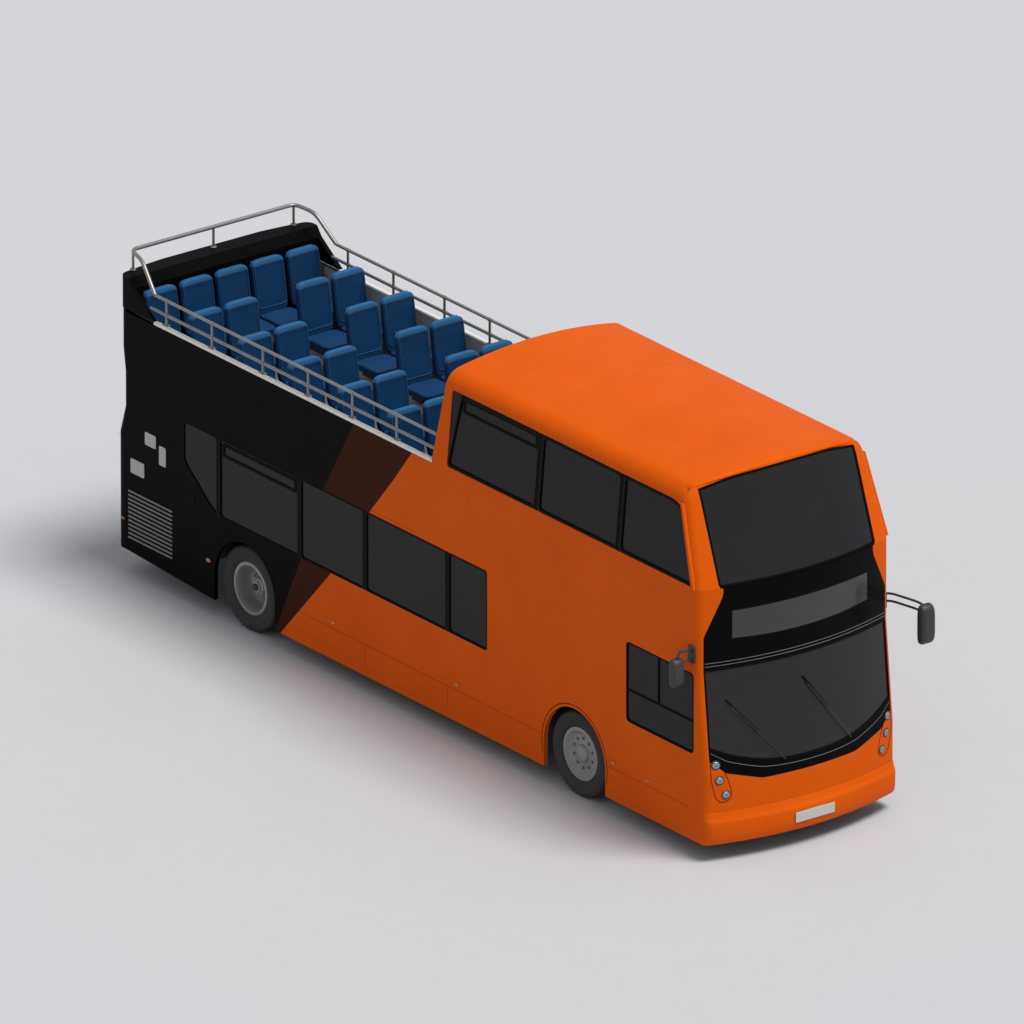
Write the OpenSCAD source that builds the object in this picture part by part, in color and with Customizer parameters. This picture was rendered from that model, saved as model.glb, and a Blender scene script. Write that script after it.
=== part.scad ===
/* [Body] */
// Length from the middle of the rear face to the rear axle
rear_overhang = 2385; // [2100:5:2900]
// Distance between the axles
wheelbase = 5850; // [4800:10:7100]
// Length from the front axle to the middle of the bumper
front_overhang = 2545; // [2500:5:3100]
// Width over the side panels
body_w = 2550; // [2300:5:3060]
// Thickness of the walls, floors, doors and roof
wall = 50; // [40:1:70]
// How far the front face bows ahead of its corners
front_bow = 220; // [180:5:270]
// How far the rear face bows behind its corners
rear_bow = 110; // [80:5:130]
// Radius of the upright corners
corner_r = 100; // [80:5:120]

/* [Heights above the road] */
// Lower edge of the body
skirt_z = 190; // [150:5:240]
// Line between the skirts and the side panels
skirt_top_z = 560; // [520:5:600]
// Top of the lower floor
floor_z = 360; // [340:5:380]
// Top of the raised floor over the rear axle
platform_z = 700; // [650:5:740]
// Lower edge of the lower side windows
sill_z = 1180; // [1150:5:1300]
// Upper edge of the lower side windows
head_z = 2100; // [2000:5:2100]
// Top of the upper floor
upper_floor_z = 2300; // [2270:5:2360]
// Top of the wall round the open deck
coping_z = 3065; // [3000:5:3100]
// Upper edge of the upper side windows
upper_head_z = 3940; // [3880:5:3980]
// Middle of the roof
roof_z = 4240; // [4180:5:4300]
// Top of the moulding behind the open deck
cowl_z = 3430; // [3380:5:3480]

/* [Windows] */
// Middle of each pillar between the lower windows, from the rear axle
lower_pillars = [-465, 985, 2145, 3610]; // [-1000:5:5000]
// Rear edge of the rearmost lower window, from the rear axle
lower_glass_start = -1100; // [-1150:5:-1000]
// Front edge of the foremost lower window, from the rear axle
lower_glass_end = 4310; // [4000:5:4320]
// Middle of each pillar between the upper windows, from the front face
upper_pillars = [-3220, -1790]; // [-5000:5:0]
// Front edge of the foremost upper window, from the front face
upper_glass_end = -500; // [-540:5:-490]
// Width of a window pillar
pillar_w = 36; // [30:1:60]
// Thickness of the glass
glass_t = 8; // [6:1:12]
// How far the glass sits in from the outer face
glass_inset = 10; // [6:1:20]

/* [Roofed deck] */
// Length of the roofed part of the upper deck, from the front face
cover_l = 5060; // [4700:10:5300]
// How far the rear edge of the roof leans forward
cover_rake = 190; // [100:5:250]
// How far each side leans in between the coping and the window heads
tumblehome = 80; // [60:5:100]
// Radius between the sides and the roof
roof_r = 200; // [160:5:240]

/* [Wheels] */
// Outer radius of a tyre
tyre_r = 480; // [450:5:490]
// Width of a tyre
tyre_w = 275; // [240:5:290]
// Radius of the rim at the tyre's bead
rim_r = 286; // [270:1:300]
// Distance from the side panel in to the tyre's outer face
tyre_inset = 50; // [40:5:80]
// Gap between the two tyres of a rear wheel
twin_gap = 50; // [40:5:60]
// Room between a tyre and the edge of its arch
arch_room = 60; // [56:1:75]
// Distance from the kingpin out to the middle of its tyre
scrub = 60; // [50:5:70]

/* [Entrance door] */
// Rear edge of the doorway, from the front axle
doorway_start = 785; // [780:5:800]
// Width of the doorway
doorway_w = 1190; // [1150:5:1200]
// Thickness of a door leaf
leaf_t = 36; // [30:1:40]
// Radius of a door's post and arms
post_r = 12; // [10:1:14]

/* [Seats] */
// Distance from row to row
row_pitch = 885; // [850:5:950]
// Width of a seat
seat_w = 440; // [400:5:450]
// Distance across the bus from one seat to the next
seat_pitch = 478; // [460:1:490]
// Depth of a cushion
cushion_l = 430; // [400:5:450]
// Thickness of a cushion at its front
cushion_t = 110; // [90:5:130]
// Height of a cushion's top above its floor
cushion_h = 450; // [420:5:480]
// Height of a back's top above its floor
back_h = 1010; // [950:5:1050]
// Thickness of a back
back_t = 90; // [70:5:100]
// Angle that a back leans from upright
back_lean = 9; // [5:1:14]

/* [Rails and mirrors] */
// Diameter of the rails round the open deck
rail_d = 36; // [30:1:45]
// Height of the top rail above the coping
rail_rise = 285; // [250:5:320]
// Diameter of the hoop behind the open deck
hoop_d = 45; // [38:1:50]
// Height of the hoop above the rear moulding
hoop_rise = 230; // [200:5:260]
// How far the nearside mirror reaches ahead of the bumper
mirror_ahead = 140; // [120:5:180]
// How far each mirror reaches out from the side
mirror_out = 250; // [200:5:280]

/* [Hidden] */

ORANGE = "darkorange";
BLACK = [0.05, 0.05, 0.05];
GLASS = [0.2, 0.2, 0.2, 0.6];
STEEL = [0.5, 0.5, 0.48];
BLUE = [0.05, 0.2, 0.4];
PALE = [0.85, 0.84, 0.8];

half_w = body_w / 2;
rear_x = -(rear_overhang + wheelbase + front_overhang + mirror_ahead) / 2;
rear_axle_x = rear_x + rear_overhang;
front_axle_x = rear_axle_x + wheelbase;
front_x = front_axle_x + front_overhang;
inner_y = half_w - wall;

// Places of the front face: bumper, panel, and the top of the leaning windscreen
panel_x = front_x - 50;
mask_x = front_x - 170;
panel_z = 1000;
deck_line_z = head_z + 10;
screen_top_z = head_z + 50;
upper_sill_z = coping_z + 15;
screen_lean = atan((panel_x - mask_x) / (screen_top_z - panel_z));
cover_lean = 19;

// Places of the rear face
waist_z = 1600;
tuck_z = 2060;
bulge_z = 2600;
tuck_in = 140;
bulge_in = 60;
rear_rise = 80;

// Where the flat side panels meet the corner panels
rear_corner_x = rear_x + 260;
doorway_x = front_axle_x + doorway_start;
front_corner_x = doorway_x + doorway_w;
cab_x = front_axle_x + 845;

tyre_y = half_w - tyre_inset - tyre_w / 2;
kingpin_y = tyre_y - scrub;
twin_y = tyre_y - tyre_w - twin_gap;
arch_r = tyre_r + arch_room;
axle_z = tyre_r;
box_t = 30;
step_x = rear_axle_x + 700;
bulkhead_x = rear_axle_x - 1260;
run_gap = 0.05;
tow_r = 20;
axle_seat_z = floor_z - 60;
coping_t = 35;
shoulder_z = roof_z - 170;
screen_side = half_w - 60;
seam = 0.5;
far = 9000;
arc_steps = 6;

// Points of an arc about c from angle a0 to a1
function arc(c, r, a0, a1, n = arc_steps) =
    [for (i = [0:n]) let (a = a0 + (a1 - a0) * i / n) [c[0] + r * cos(a), c[1] + r * sin(a)]];

// A rectangle with its corners rounded to r
function round_rect(x0, x1, y0, y1, r) = concat(
    arc([x1 - r, y1 - r], r, 0, 90),
    arc([x0 + r, y1 - r], r, 90, 180),
    arc([x0 + r, y0 + r], r, 180, 270),
    arc([x1 - r, y0 + r], r, 270, 360)
);

// Half of a bowed face with its rounded corner, from the middle out to the side, as [x, y]
function half_nose(bow, hw, r) =
    let (turn = atan(2 * bow / hw))
    let (join_y = hw - r * (1 - sin(turn)))
    let (join_x = -bow * pow(join_y / hw, 2))
    concat(
        [for (i = [0:8]) let (y = join_y * i / 9) [-bow * pow(y / hw, 2), y]],
        arc([join_x - r * cos(turn), join_y - r * sin(turn)], r, turn, 90)
    );

// The whole bowed face, closed by a straight back at x = -depth
function nose(bow, hw, r, depth) =
    let (half = half_nose(bow, hw, r))
    concat(
        [[-depth, hw]],
        [for (i = [len(half) - 1:-1:0]) half[i]],
        [for (i = [1:len(half) - 1]) [half[i][0], -half[i][1]]],
        [[-depth, -hw]]
    );

// Half of the cross-section above the coping, from the side over to the middle, as [y, z]
function half_section(t) =
    let (top_y = half_w - tumblehome)
    let (lean = tumblehome / (upper_head_z - coping_z))
    let (shoulder = arc([top_y - roof_r, upper_head_z], roof_r - t, 0, 75))
    let (last = shoulder[len(shoulder) - 1])
    concat(
        [[half_w - t + lean * 600, coping_z - 600]],
        shoulder,
        [for (i = [1:6]) let (y = last[0] * (1 - i / 6))
            [y, roof_z - t - (roof_z - t - last[1]) * pow(y / last[0], 2)]]
    );

// A box between two corners
module block(x0, x1, y0, y1, z0, z1) {
    translate([x0, y0, z0]) cube([x1 - x0, y1 - y0, z1 - z0]);
}

// An outline in X and Z, carried across from y0 to y1
module across(y0, y1) {
    translate([0, y1, 0]) rotate([90, 0, 0]) linear_extrude(y1 - y0) children();
}

// An outline in Y and Z, carried forward from x0 to x1
module along(x0, x1) {
    translate([x0, 0, 0]) rotate([90, 0, 90]) linear_extrude(x1 - x0) children();
}

// What follows on the left, or mirrored to the right
module on_side(side) {
    if (side > 0) children();
    else mirror([0, 1, 0]) children();
}

// A round bar from p to q
module rod(p, q, d) {
    v = q - p;
    translate(p)
        rotate([0, acos(v[2] / norm(v)), atan2(v[1], v[0])])
            cylinder(d = d, h = norm(v), $fn = 24);
}

// A rail through a list of points, with a ball at each bend
module rail(points, d) {
    for (i = [0:len(points) - 2]) rod(points[i], points[i + 1], d);
    for (i = [1:len(points) - 2]) translate(points[i]) sphere(d = d + 6, $fn = 24);
}

// A bowed face leaning back by lean degrees, between two depths below its surface
module face_band(x_mid, z0, z1, lean, t0, t1, depth) {
    rise = z1 - z0 + 700;
    intersection() {
        block(-far, far, -far, far, z0, z1);
        translate([x_mid, 0, z0])
            rotate([0, -lean, 0])
                translate([0, 0, -100])
                    linear_extrude(rise)
                        difference() {
                            translate([-t0, 0])
                                polygon(nose(front_bow * cos(lean), half_w - t0, corner_r - t0, depth));
                            translate([-t1, 0])
                                polygon(nose(front_bow * cos(lean), half_w - t1, corner_r - t1, depth + 400));
                        }
    }
}

// The front between two depths: panel, leaning windscreen zone and mask
module front_band(z0, z1, t0 = 0, t1 = wall, depth = 2200) {
    intersection() {
        block(-far, far, -far, far, z0, z1);
        union() {
            if (z0 < panel_z) face_band(panel_x, z0, min(z1, panel_z), 0, t0, t1, depth);
            if (z1 > panel_z && z0 < screen_top_z)
                face_band(panel_x, panel_z, screen_top_z, screen_lean, t0, t1, depth);
            if (z1 > screen_top_z)
                face_band(mask_x, screen_top_z, z1, 0, t0, t1, depth);
        }
    }
}

// The rear face between two depths; its three zones lean in at the waist
module rear_band(z0, z1, t0 = 0, t1 = wall, depth = 700) {
    low_lean = atan(tuck_in / (tuck_z - waist_z));
    high_lean = -atan((tuck_in - bulge_in) / (bulge_z - tuck_z));
    zones = [
        [0, waist_z, 0, 0],
        [waist_z, tuck_z, low_lean, 0],
        [tuck_z, bulge_z, high_lean, tuck_in],
        [bulge_z, cowl_z, 0, bulge_in]
    ];
    for (zone = zones)
        if (zone[1] > z0 && zone[0] < z1)
            intersection() {
                block(-far, far, -far, far, max(z0, zone[0]), min(z1, zone[1]));
                translate([rear_x + zone[3], 0, zone[0]])
                    rotate([0, zone[2], 0])
                        translate([0, 0, -300])
                            linear_extrude(zone[1] - zone[0] + 600)
                                mirror([1, 0])
                                    difference() {
                                        translate([-t0, 0]) polygon(nose(rear_bow, half_w - t0, corner_r, depth));
                                        translate([-t1, 0]) polygon(nose(rear_bow, half_w - t1, corner_r - t1, depth + 100));
                                    }
            }
}

// Everything inside the roofed deck's outer surface, less a depth t
module cover_core(t) {
    intersection() {
        along(front_x - cover_l - 100, front_x)
            polygon(concat(
                half_section(t),
                [for (i = [len(half_section(t)) - 2:-1:0]) [-half_section(t)[i][0], half_section(t)[i][1]]]
            ));
        translate([mask_x - t, 0, coping_z])
            rotate([0, -cover_lean, 0])
                translate([0, 0, -900])
                    linear_extrude(5400)
                        polygon(nose(front_bow * cos(cover_lean), half_w, corner_r, cover_l + 2400));
    }
}

// The skin of the roofed deck between two depths, behind its raked rear edge
module cover_skin(z0, z1, t0 = 0, t1 = wall) {
    rise = roof_z - coping_z;
    intersection() {
        difference() {
            cover_core(t0);
            cover_core(t1);
        }
        across(-far, far)
            polygon([
                [front_x - cover_l + cover_rake * (z0 - coping_z) / rise, z0],
                [front_x - cover_l + cover_rake * (z1 - coping_z) / rise, z1],
                [front_x, z1],
                [front_x, z0]
            ]);
    }
}

// Outlines of the lower side windows, grown by g
module lower_panes(g = 0) {
    ends = concat([lower_glass_start], lower_pillars, [lower_glass_end]);
    last = len(ends) - 2;
    for (i = [0:last]) {
        x0 = rear_axle_x + ends[i] + (i == 0 ? 0 : pillar_w / 2) - g;
        x1 = rear_axle_x + ends[i + 1] - (i == last ? 0 : pillar_w / 2) + g;
        if (i > 0) polygon(round_rect(x0, x1, sill_z - g, head_z + g, 40));
        else
            polygon([
                [x0, head_z], [x0, sill_z + 480], [x0 + 60, sill_z + 400], [x0 + 215, sill_z + 285],
                [x0 + 480, sill_z + 75], [x1, sill_z + 10], [x1, head_z]
            ]);
    }
}

// Outline of the driver's side window
module cab_pane() {
    polygon(round_rect(front_x - 1640, front_x - 460, sill_z, head_z, 60));
}

// Outlines of the upper side windows
module upper_panes() {
    rise = roof_z - coping_z;
    start = front_x - cover_l + cover_rake * (upper_head_z - coping_z) / rise + 120;
    p0 = front_x + upper_pillars[0];
    p1 = front_x + upper_pillars[1];
    end = front_x + upper_glass_end;
    top = upper_head_z;
    polygon(round_rect(start, p0 - pillar_w / 2, upper_sill_z, top, 40));
    polygon(round_rect(p0 + pillar_w / 2, p1 - pillar_w / 2, upper_sill_z, top, 40));
    polygon(concat(
        arc([end - 450, top - 300], 300, 0, 90),
        [[p1 + pillar_w / 2, top], [p1 + pillar_w / 2, upper_sill_z], [end, upper_sill_z]]
    ));
}

// Outline of the windscreen, seen from ahead as [y, z]
module screen_outline() {
    bottom = 1020;
    corner = 1285;
    side = screen_side;
    polygon(concat(
        [for (i = [-8:8]) let (y = side * i / 8) [y, bottom + (corner - bottom) * pow(abs(i) / 8, 2.5)]],
        [[side, screen_top_z], [-side, screen_top_z]]
    ));
}

// Outline of the upper windscreen, seen from ahead as [y, z]
module upper_screen_outline() {
    polygon(concat(
        [[-1030, upper_sill_z], [1030, upper_sill_z]],
        [for (i = [5:-1:-5]) let (y = 1010 * i / 5) [y, roof_z - 60 - 105 * pow(y / 1010, 2)]]
    ));
}

module chassis_frame() {
    rail_y0 = 430;
    rail_y1 = 510;
    low = floor_z - 130;
    high = platform_z - 120;
    axle_room = 75;
    side_y = inner_y - 20;
    low_members = [for (x = [rear_axle_x + 1100:1100:front_axle_x - 600]) x];
    high_members = [rear_x + 360, rear_axle_x - 600, rear_axle_x + 350];
    color(STEEL) {
        for (side = [-1, 1])
            on_side(side) {
                across(rail_y0, rail_y1)
                    difference() {
                        polygon([
                            [rear_x + 320, high], [step_x - 280, high], [step_x - 20, low],
                            [front_axle_x + 700, low], [front_axle_x + 700, floor_z - wall],
                            [step_x - 20, floor_z - wall], [step_x - 240, platform_z - wall],
                            [rear_x + 320, platform_z - wall]
                        ]);
                        translate([front_axle_x - axle_room, 0]) square([2 * axle_room, axle_seat_z]);
                    }
                for (x = low_members) block(x - 40, x + 40, rail_y1 + seam, side_y, low, floor_z - wall);
            }
        for (x = low_members) block(x - 40, x + 40, -rail_y0 + seam, rail_y0 - seam, low, floor_z - wall);
        for (x = high_members) block(x - 40, x + 40, -rail_y0 + seam, rail_y0 - seam, high, platform_z - wall);
        // towing tongue with its vertical pin hole
        difference() {
            union() {
                block(front_axle_x + 620, front_axle_x + 700, -rail_y0 + seam, rail_y0 - seam, low, floor_z - wall);
                block(front_axle_x + 640, front_x - 150, -60, 60, low, floor_z - wall);
            }
            translate([front_x - 230, 0, 0]) cylinder(r = tow_r, h = 600, $fn = 48);
        }
    }
}

module lower_floor() {
    color("dimgray") {
        difference() {
            union() {
                block(step_x, front_x - 190, -inner_y + 1, inner_y - 1, floor_z - wall, floor_z);
                block(step_x, step_x + wall, -inner_y + 1, inner_y - 1, floor_z, platform_z - wall);
                block(bulkhead_x, step_x + wall, -inner_y + 1, inner_y - 1, platform_z - wall, platform_z);
            }
            for (side = [-1, 1])
                on_side(side) {
                    block(front_axle_x - arch_r - box_t, front_axle_x + arch_r + box_t, 590, half_w, 0, 600);
                    block(rear_axle_x - arch_r - box_t, rear_axle_x + arch_r + box_t, 560, half_w, 0, 900);
                }
            // the corners follow the bowed front
            for (side = [-1, 1])
                on_side(side)
                    translate([front_x - 190, 0, 0])
                        linear_extrude(far / 2)
                            polygon([
                                [1, 400], [1, half_w], [-360, half_w], [-260, half_w - 150], [-110, 900]
                            ]);
        }
    }
}

// A box over one wheel, open below and outwards
module wheel_box(x, y_in, z0) {
    difference() {
        block(x - arch_r - box_t, x + arch_r + box_t, y_in - box_t, inner_y - 1, z0, axle_z + arch_r + box_t);
        block(x - arch_r, x + arch_r, y_in, half_w, 0, axle_z + arch_r);
    }
}

module wheel_boxes() {
    color("dimgray")
        for (side = [-1, 1])
            on_side(side) {
                wheel_box(front_axle_x, 620, floor_z - wall);
                wheel_box(rear_axle_x, 590, platform_z - wall);
            }
}

stair_top_x = rear_axle_x + 3200;
stair_l = 1840;
risers = 8;

module upper_floor() {
    color("gray")
        difference() {
            intersection() {
                block(rear_x, front_x, -inner_y + 1, inner_y - 1, upper_floor_z - wall, upper_floor_z);
                translate([mask_x - wall - 1, 0, 0])
                    linear_extrude(far / 2)
                        polygon(nose(front_bow, half_w - wall, corner_r - wall, 15000));
                translate([rear_x + tuck_in + wall + 5, 0, 0])
                    mirror([1, 0, 0])
                        linear_extrude(far / 2)
                            polygon(nose(rear_bow, half_w - wall, corner_r - wall, 15000));
            }
            block(stair_top_x, stair_top_x + stair_l - 100, -half_w, -580, 0, far / 2);
        }
}

module stairs() {
    tread = stair_l / risers;
    riser = (upper_floor_z - floor_z) / risers;
    foot_x = stair_top_x + stair_l;
    color("dimgray") {
        for (i = [0:risers - 2])
            block(foot_x - (i + 1) * tread, foot_x - i * tread, -inner_y + 3, -640,
                floor_z + (i + 1) * riser - 40, floor_z + (i + 1) * riser);
        across(-640, -600)
            polygon([
                [foot_x, floor_z], [foot_x, floor_z + riser], [stair_top_x + tread, upper_floor_z - wall],
                [stair_top_x, upper_floor_z - wall], [stair_top_x, upper_floor_z - 500], [foot_x - 450, floor_z]
            ]);
    }
}

// The arch cut over each wheel
module arch_cut(x) {
    translate([x, axle_z]) circle(r = arch_r, $fn = 128);
    translate([x - arch_r, 0]) square([2 * arch_r, axle_z]);
}

module skirts() {
    color(ORANGE)
        for (side = [-1, 1])
            on_side(side) {
                across(inner_y, half_w)
                    difference() {
                        polygon([
                            [rear_corner_x, skirt_z + rear_rise], [rear_axle_x - arch_r, skirt_z],
                                [front_corner_x, skirt_z], [front_corner_x, side > 0 ? floor_z : skirt_top_z],
                            [doorway_x, side > 0 ? floor_z : skirt_top_z], [doorway_x, skirt_top_z],
                            [rear_corner_x, skirt_top_z]
                        ]);
                        arch_cut(front_axle_x);
                        arch_cut(rear_axle_x);
                    }
            }
}

// The walls beside the lower deck; the left one stops at the doorway
module lower_sides() {
    color(ORANGE)
        for (side = [-1, 1]) {
            end_x = (side > 0 ? doorway_x : cab_x) - seam;
            on_side(side)
                across(inner_y, half_w)
                    difference() {
                        polygon([
                            [rear_corner_x, skirt_top_z + seam], [end_x, skirt_top_z + seam],
                            [end_x, deck_line_z - seam], [rear_corner_x, deck_line_z - seam]
                        ]);
                        arch_cut(front_axle_x);
                        arch_cut(rear_axle_x);
                        lower_panes();
                    }
        }
}

module upper_sides() {
    color(ORANGE)
        for (side = [-1, 1])
            on_side(side)
                across(inner_y, half_w)
                    polygon([
                        [rear_corner_x, deck_line_z], [doorway_x, deck_line_z],
                        [doorway_x, side > 0 ? leaf_z1 + arm_gap : deck_line_z],
                        [front_corner_x, side > 0 ? leaf_z1 + arm_gap : deck_line_z], [front_corner_x, coping_z],
                        [front_x - cover_l, coping_z], [front_x - cover_l, coping_z - coping_t],
                        [rear_corner_x, coping_z - coping_t]
                    ]);
}

// The corner panel beside the driver, with the driver's window
module right_cab_side() {
    color(ORANGE)
        difference() {
            intersection() {
                front_band(skirt_top_z + seam, deck_line_z - seam);
                difference() {
                    block(cab_x, far, -far, 0, 0, far);
                    block(mask_x - 700, far, -screen_side, 0, 0, far);
                }
            }
            across(-far, 0) cab_pane();
        }
}

module left_front_pillar() {
    color(ORANGE)
        intersection() {
            front_band(skirt_top_z + seam, deck_line_z - seam);
            difference() {
                block(front_corner_x, far, 0, far, 0, far);
                block(mask_x - 700, far, 0, screen_side, 0, far);
            }
        }
}

// The leaning cut between the cover's sides and its front frame
module front_cut(ahead) {
    shift = (roof_z - coping_z) * tan(cover_lean);
    split = front_x - 430;
    edge = ahead ? far : -far;
    across(-far, far)
        polygon([[split, coping_z - 1], [split - shift, roof_z], [edge, roof_z], [edge, coping_z - 1]]);
}

module cover_sides() {
    color(ORANGE)
        for (side = [-1, 1])
            on_side(side)
                difference() {
                    intersection() {
                        cover_skin(coping_z, shoulder_z);
                        front_cut(false);
                        block(-far, far, 500, far, 0, far);
                    }
                    across(0, far) upper_panes();
                }
}

module upper_front_frame() {
    color(ORANGE)
        difference() {
            intersection() {
                cover_skin(coping_z, shoulder_z);
                front_cut(true);
            }
            along(front_x - 1100, far) upper_screen_outline();
        }
}

module roof() {
    color(ORANGE)
        difference() {
            cover_skin(shoulder_z + seam, roof_z + 10);
            along(front_x - 1100, far) upper_screen_outline();
        }
}

module front_bumper() {
    color(ORANGE)
        intersection() {
            face_band(front_x, skirt_z, skirt_top_z, 0, 0, wall, 900);
            block(front_corner_x, far, -far, far, 0, far);
        }
}

// Places of the three round lamps at each front corner, as [y, z]
lamp_r = 45;
lamps = [[1150, 1096], [1115, 919], [1045, 747]];

// Round bars along X at the lamps, of radius r
module lamp_bars(r, back, ahead) {
    for (side = [-1, 1])
        for (lamp = lamps) {
            x = panel_x - front_bow * pow(lamp[0] / half_w, 2);
            translate([x - back, side * lamp[0], lamp[1]])
                rotate([0, 90, 0])
                    cylinder(r = r, h = back + ahead, $fn = 48);
        }
}

module front_panel() {
    color(ORANGE)
        difference() {
            intersection() {
                front_band(skirt_top_z + seam, 1285, 0, wall, 900);
                block(front_corner_x, far, -screen_side + seam, screen_side - seam, 0, far);
            }
            along(front_x - 900, far) screen_outline();
            lamp_bars(lamp_r + seam, 200, 200);
        }
}

module headlamps() {
    color("white") lamp_bars(lamp_r, 60, 12);
}

module front_mask() {
    color(BLACK)
        difference() {
            intersection() {
                front_band(deck_line_z, coping_z - seam);
                block(front_corner_x + seam, far, -far, far, 0, far);
            }
            along(front_x - 900, far) screen_outline();
        }
}

module number_plates() {
    plate_w = 520;
    plate_h = 115;
    plate_t = 8;
    color(PALE) {
        block(front_x + seam, front_x + seam + plate_t, -plate_w / 2, plate_w / 2, 290, 290 + plate_h);
        block(rear_x - seam - plate_t, rear_x - seam, -plate_w / 2, plate_w / 2, 380, 380 + plate_h);
    }
}

module lower_windscreen() {
    color(GLASS)
        intersection() {
            front_band(900, screen_top_z, glass_inset, glass_inset + glass_t, 700);
            along(front_x - 700, far) screen_outline();
        }
}

module upper_windscreen() {
    color(GLASS)
        intersection() {
            cover_skin(coping_z, roof_z, glass_inset, glass_inset + glass_t);
            along(front_x - 1100, far) upper_screen_outline();
        }
}

module side_windows() {
    outer = half_w - glass_inset;
    color(GLASS)
        for (side = [-1, 1])
            on_side(side) {
                across(outer - glass_t, outer) lower_panes();
                if (side < 0) across(outer - glass_t, outer) cab_pane();
                intersection() {
                    cover_skin(coping_z, shoulder_z, glass_inset, glass_inset + glass_t);
                    across(500, far) upper_panes();
                }
            }
}

// Half the width of the engine lid
lid_half = 950;
lid_gap = 6;

module rear_corners() {
    color(BLACK)
        intersection() {
            union() {
                rear_band(skirt_z + rear_rise, skirt_top_z);
                difference() {
                    rear_band(skirt_top_z - 1, waist_z - seam);
                    block(-far, far, -lid_half - lid_gap, lid_half + lid_gap, skirt_top_z, far);
                }
            }
            block(-far, rear_corner_x - seam, -far, far, 0, far);
        }
}

// Hinge along the top of the engine lid
hinge_x = rear_x + 8;
hinge_r = 8;
hinge_room = 10;

// Barrels of the lid's hinge, on the lid or on the wall, each with its web
module hinge_barrels(on_lid) {
    length = 80;
    places = on_lid ? [-700, 620] : [-620 + seam, 540 - seam];
    for (y = places)
        union() {
            translate([hinge_x, y, waist_z]) rotate([-90, 0, 0]) cylinder(r = hinge_r, h = length, $fn = 24);
            if (on_lid) block(hinge_x, hinge_x + 20, y, y + length, waist_z - hinge_room - 5, waist_z);
            else block(hinge_x, hinge_x + 20, y, y + length, waist_z, waist_z + hinge_room + 5);
        }
}

module engine_lid() {
    color(BLACK) {
        intersection() {
            rear_band(skirt_top_z + lid_gap, waist_z - hinge_room);
            block(-far, rear_corner_x, -lid_half, lid_half, 0, far);
        }
        hinge_barrels(true);
    }
}

module rear_wall() {
    color(BLACK) {
        intersection() {
            rear_band(waist_z + hinge_room, coping_z - seam);
            block(-far, rear_corner_x - seam, -far, far, 0, far);
        }
        hinge_barrels(false);
    }
}

cowl_front_x = rear_x + 380;
cowl_end_x = rear_x + 760;

module rear_cowl() {
    skin = 40;
    color(BLACK)
        intersection() {
            difference() {
                union() {
                    across(-half_w, half_w)
                        polygon([
                            [rear_x + bulge_in - 10, coping_z], [rear_x + 45, cowl_z - 70], [rear_x + 75, cowl_z],
                            [rear_x + 300, cowl_z], [cowl_front_x, cowl_z - 105], [cowl_front_x, coping_z]
                        ]);
                    for (side = [-1, 1])
                        on_side(side)
                            across(inner_y, half_w)
                                polygon([
                                    [cowl_front_x - 1, coping_z], [cowl_front_x - 1, cowl_z - 105],
                                    [cowl_front_x, cowl_z - 105], [cowl_end_x, coping_z]
                                ]);
                }
                across(-inner_y, inner_y)
                    polygon([
                        [rear_x + bulge_in + rear_bow + skin, coping_z - 1],
                        [rear_x + bulge_in + rear_bow + skin, cowl_z - skin],
                        [rear_x + 285, cowl_z - skin], [cowl_front_x - skin, cowl_z - 105 - skin],
                        [cowl_front_x - skin, coping_z - 1]
                    ]);
            }
            translate([rear_x + 45, 0, 0])
                mirror([1, 0, 0])
                    linear_extrude(far)
                        polygon(nose(rear_bow, half_w, corner_r, 1500));
        }
}

module tail_lamps() {
    lamp_w = 90;
    lamp_t = 25;
    color("darkred")
        for (side = [-1, 1])
            on_side(side) {
                edge_y = 1000;
                x = rear_x + rear_bow * pow(edge_y / half_w, 2);
                for (z = [820, 1000, 1180])
                    translate([x - lamp_t - seam, edge_y + lamp_w / 2, z])
                        rotate([0, 90, 0])
                            cylinder(d = lamp_w, h = lamp_t, $fn = 48);
            }
}

module engine() {
    color(STEEL)
        block(rear_x + 150, rear_x + 900, -420, 420, platform_z - wall, 1350);
}

module engine_bulkhead() {
    color("dimgray")
        block(bulkhead_x - wall, bulkhead_x - seam, -inner_y + 1, inner_y - 1,
            platform_z - wall, upper_floor_z - wall - seam);
}

module coping() {
    color(PALE)
        for (side = [-1, 1])
            on_side(side)
                block(cowl_end_x + seam, front_x - cover_l - seam, inner_y - 10, half_w, coping_z - coping_t + 0.1, coping_z);
}

// Places of the posts along the open deck, from the rear face
posts = [925, 1739, 2650, 3455, 4242, 5030];

module deck_rails() {
    y = half_w - 55;
    top_z = coping_z + rail_rise;
    mid_z = coping_z + 115;
    hoop_z = cowl_z + hoop_rise;
    rake = cover_rake / (roof_z - coping_z);
    end_x = front_x - cover_l + rake * (mid_z - coping_z - rail_d / 2) - seam;
    top_end_x = front_x - cover_l + rake * (rail_rise - rail_d / 2) - seam;
    hoop_y = half_w - 175;
    post_d = rail_d - 6;
    color(STEEL) {
        for (side = [-1, 1]) {
            rod([rear_x + 720, side * y, top_z], [top_end_x, side * y, top_z], rail_d);
            rod([rear_x + 640, side * y, mid_z], [end_x, side * y, mid_z], rail_d);
            for (post = posts)
                rod([rear_x + post, side * y, coping_z + 0.2], [rear_x + post, side * y, top_z], post_d);
        }
        rail([
            [rear_x + 715, -y, top_z + 2], [rear_x + 410, -hoop_y - 60, hoop_z - 25],
            [rear_x + 130, -hoop_y, hoop_z], [rear_x + 130, hoop_y, hoop_z],
            [rear_x + 410, hoop_y + 60, hoop_z - 25], [rear_x + 715, y, top_z + 2]
        ], hoop_d);
        for (y_post = [-hoop_y, 0, hoop_y])
            rod([rear_x + 130, y_post, cowl_z + 0.2], [rear_x + 130, y_post, hoop_z], post_d);
    }
}

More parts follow.
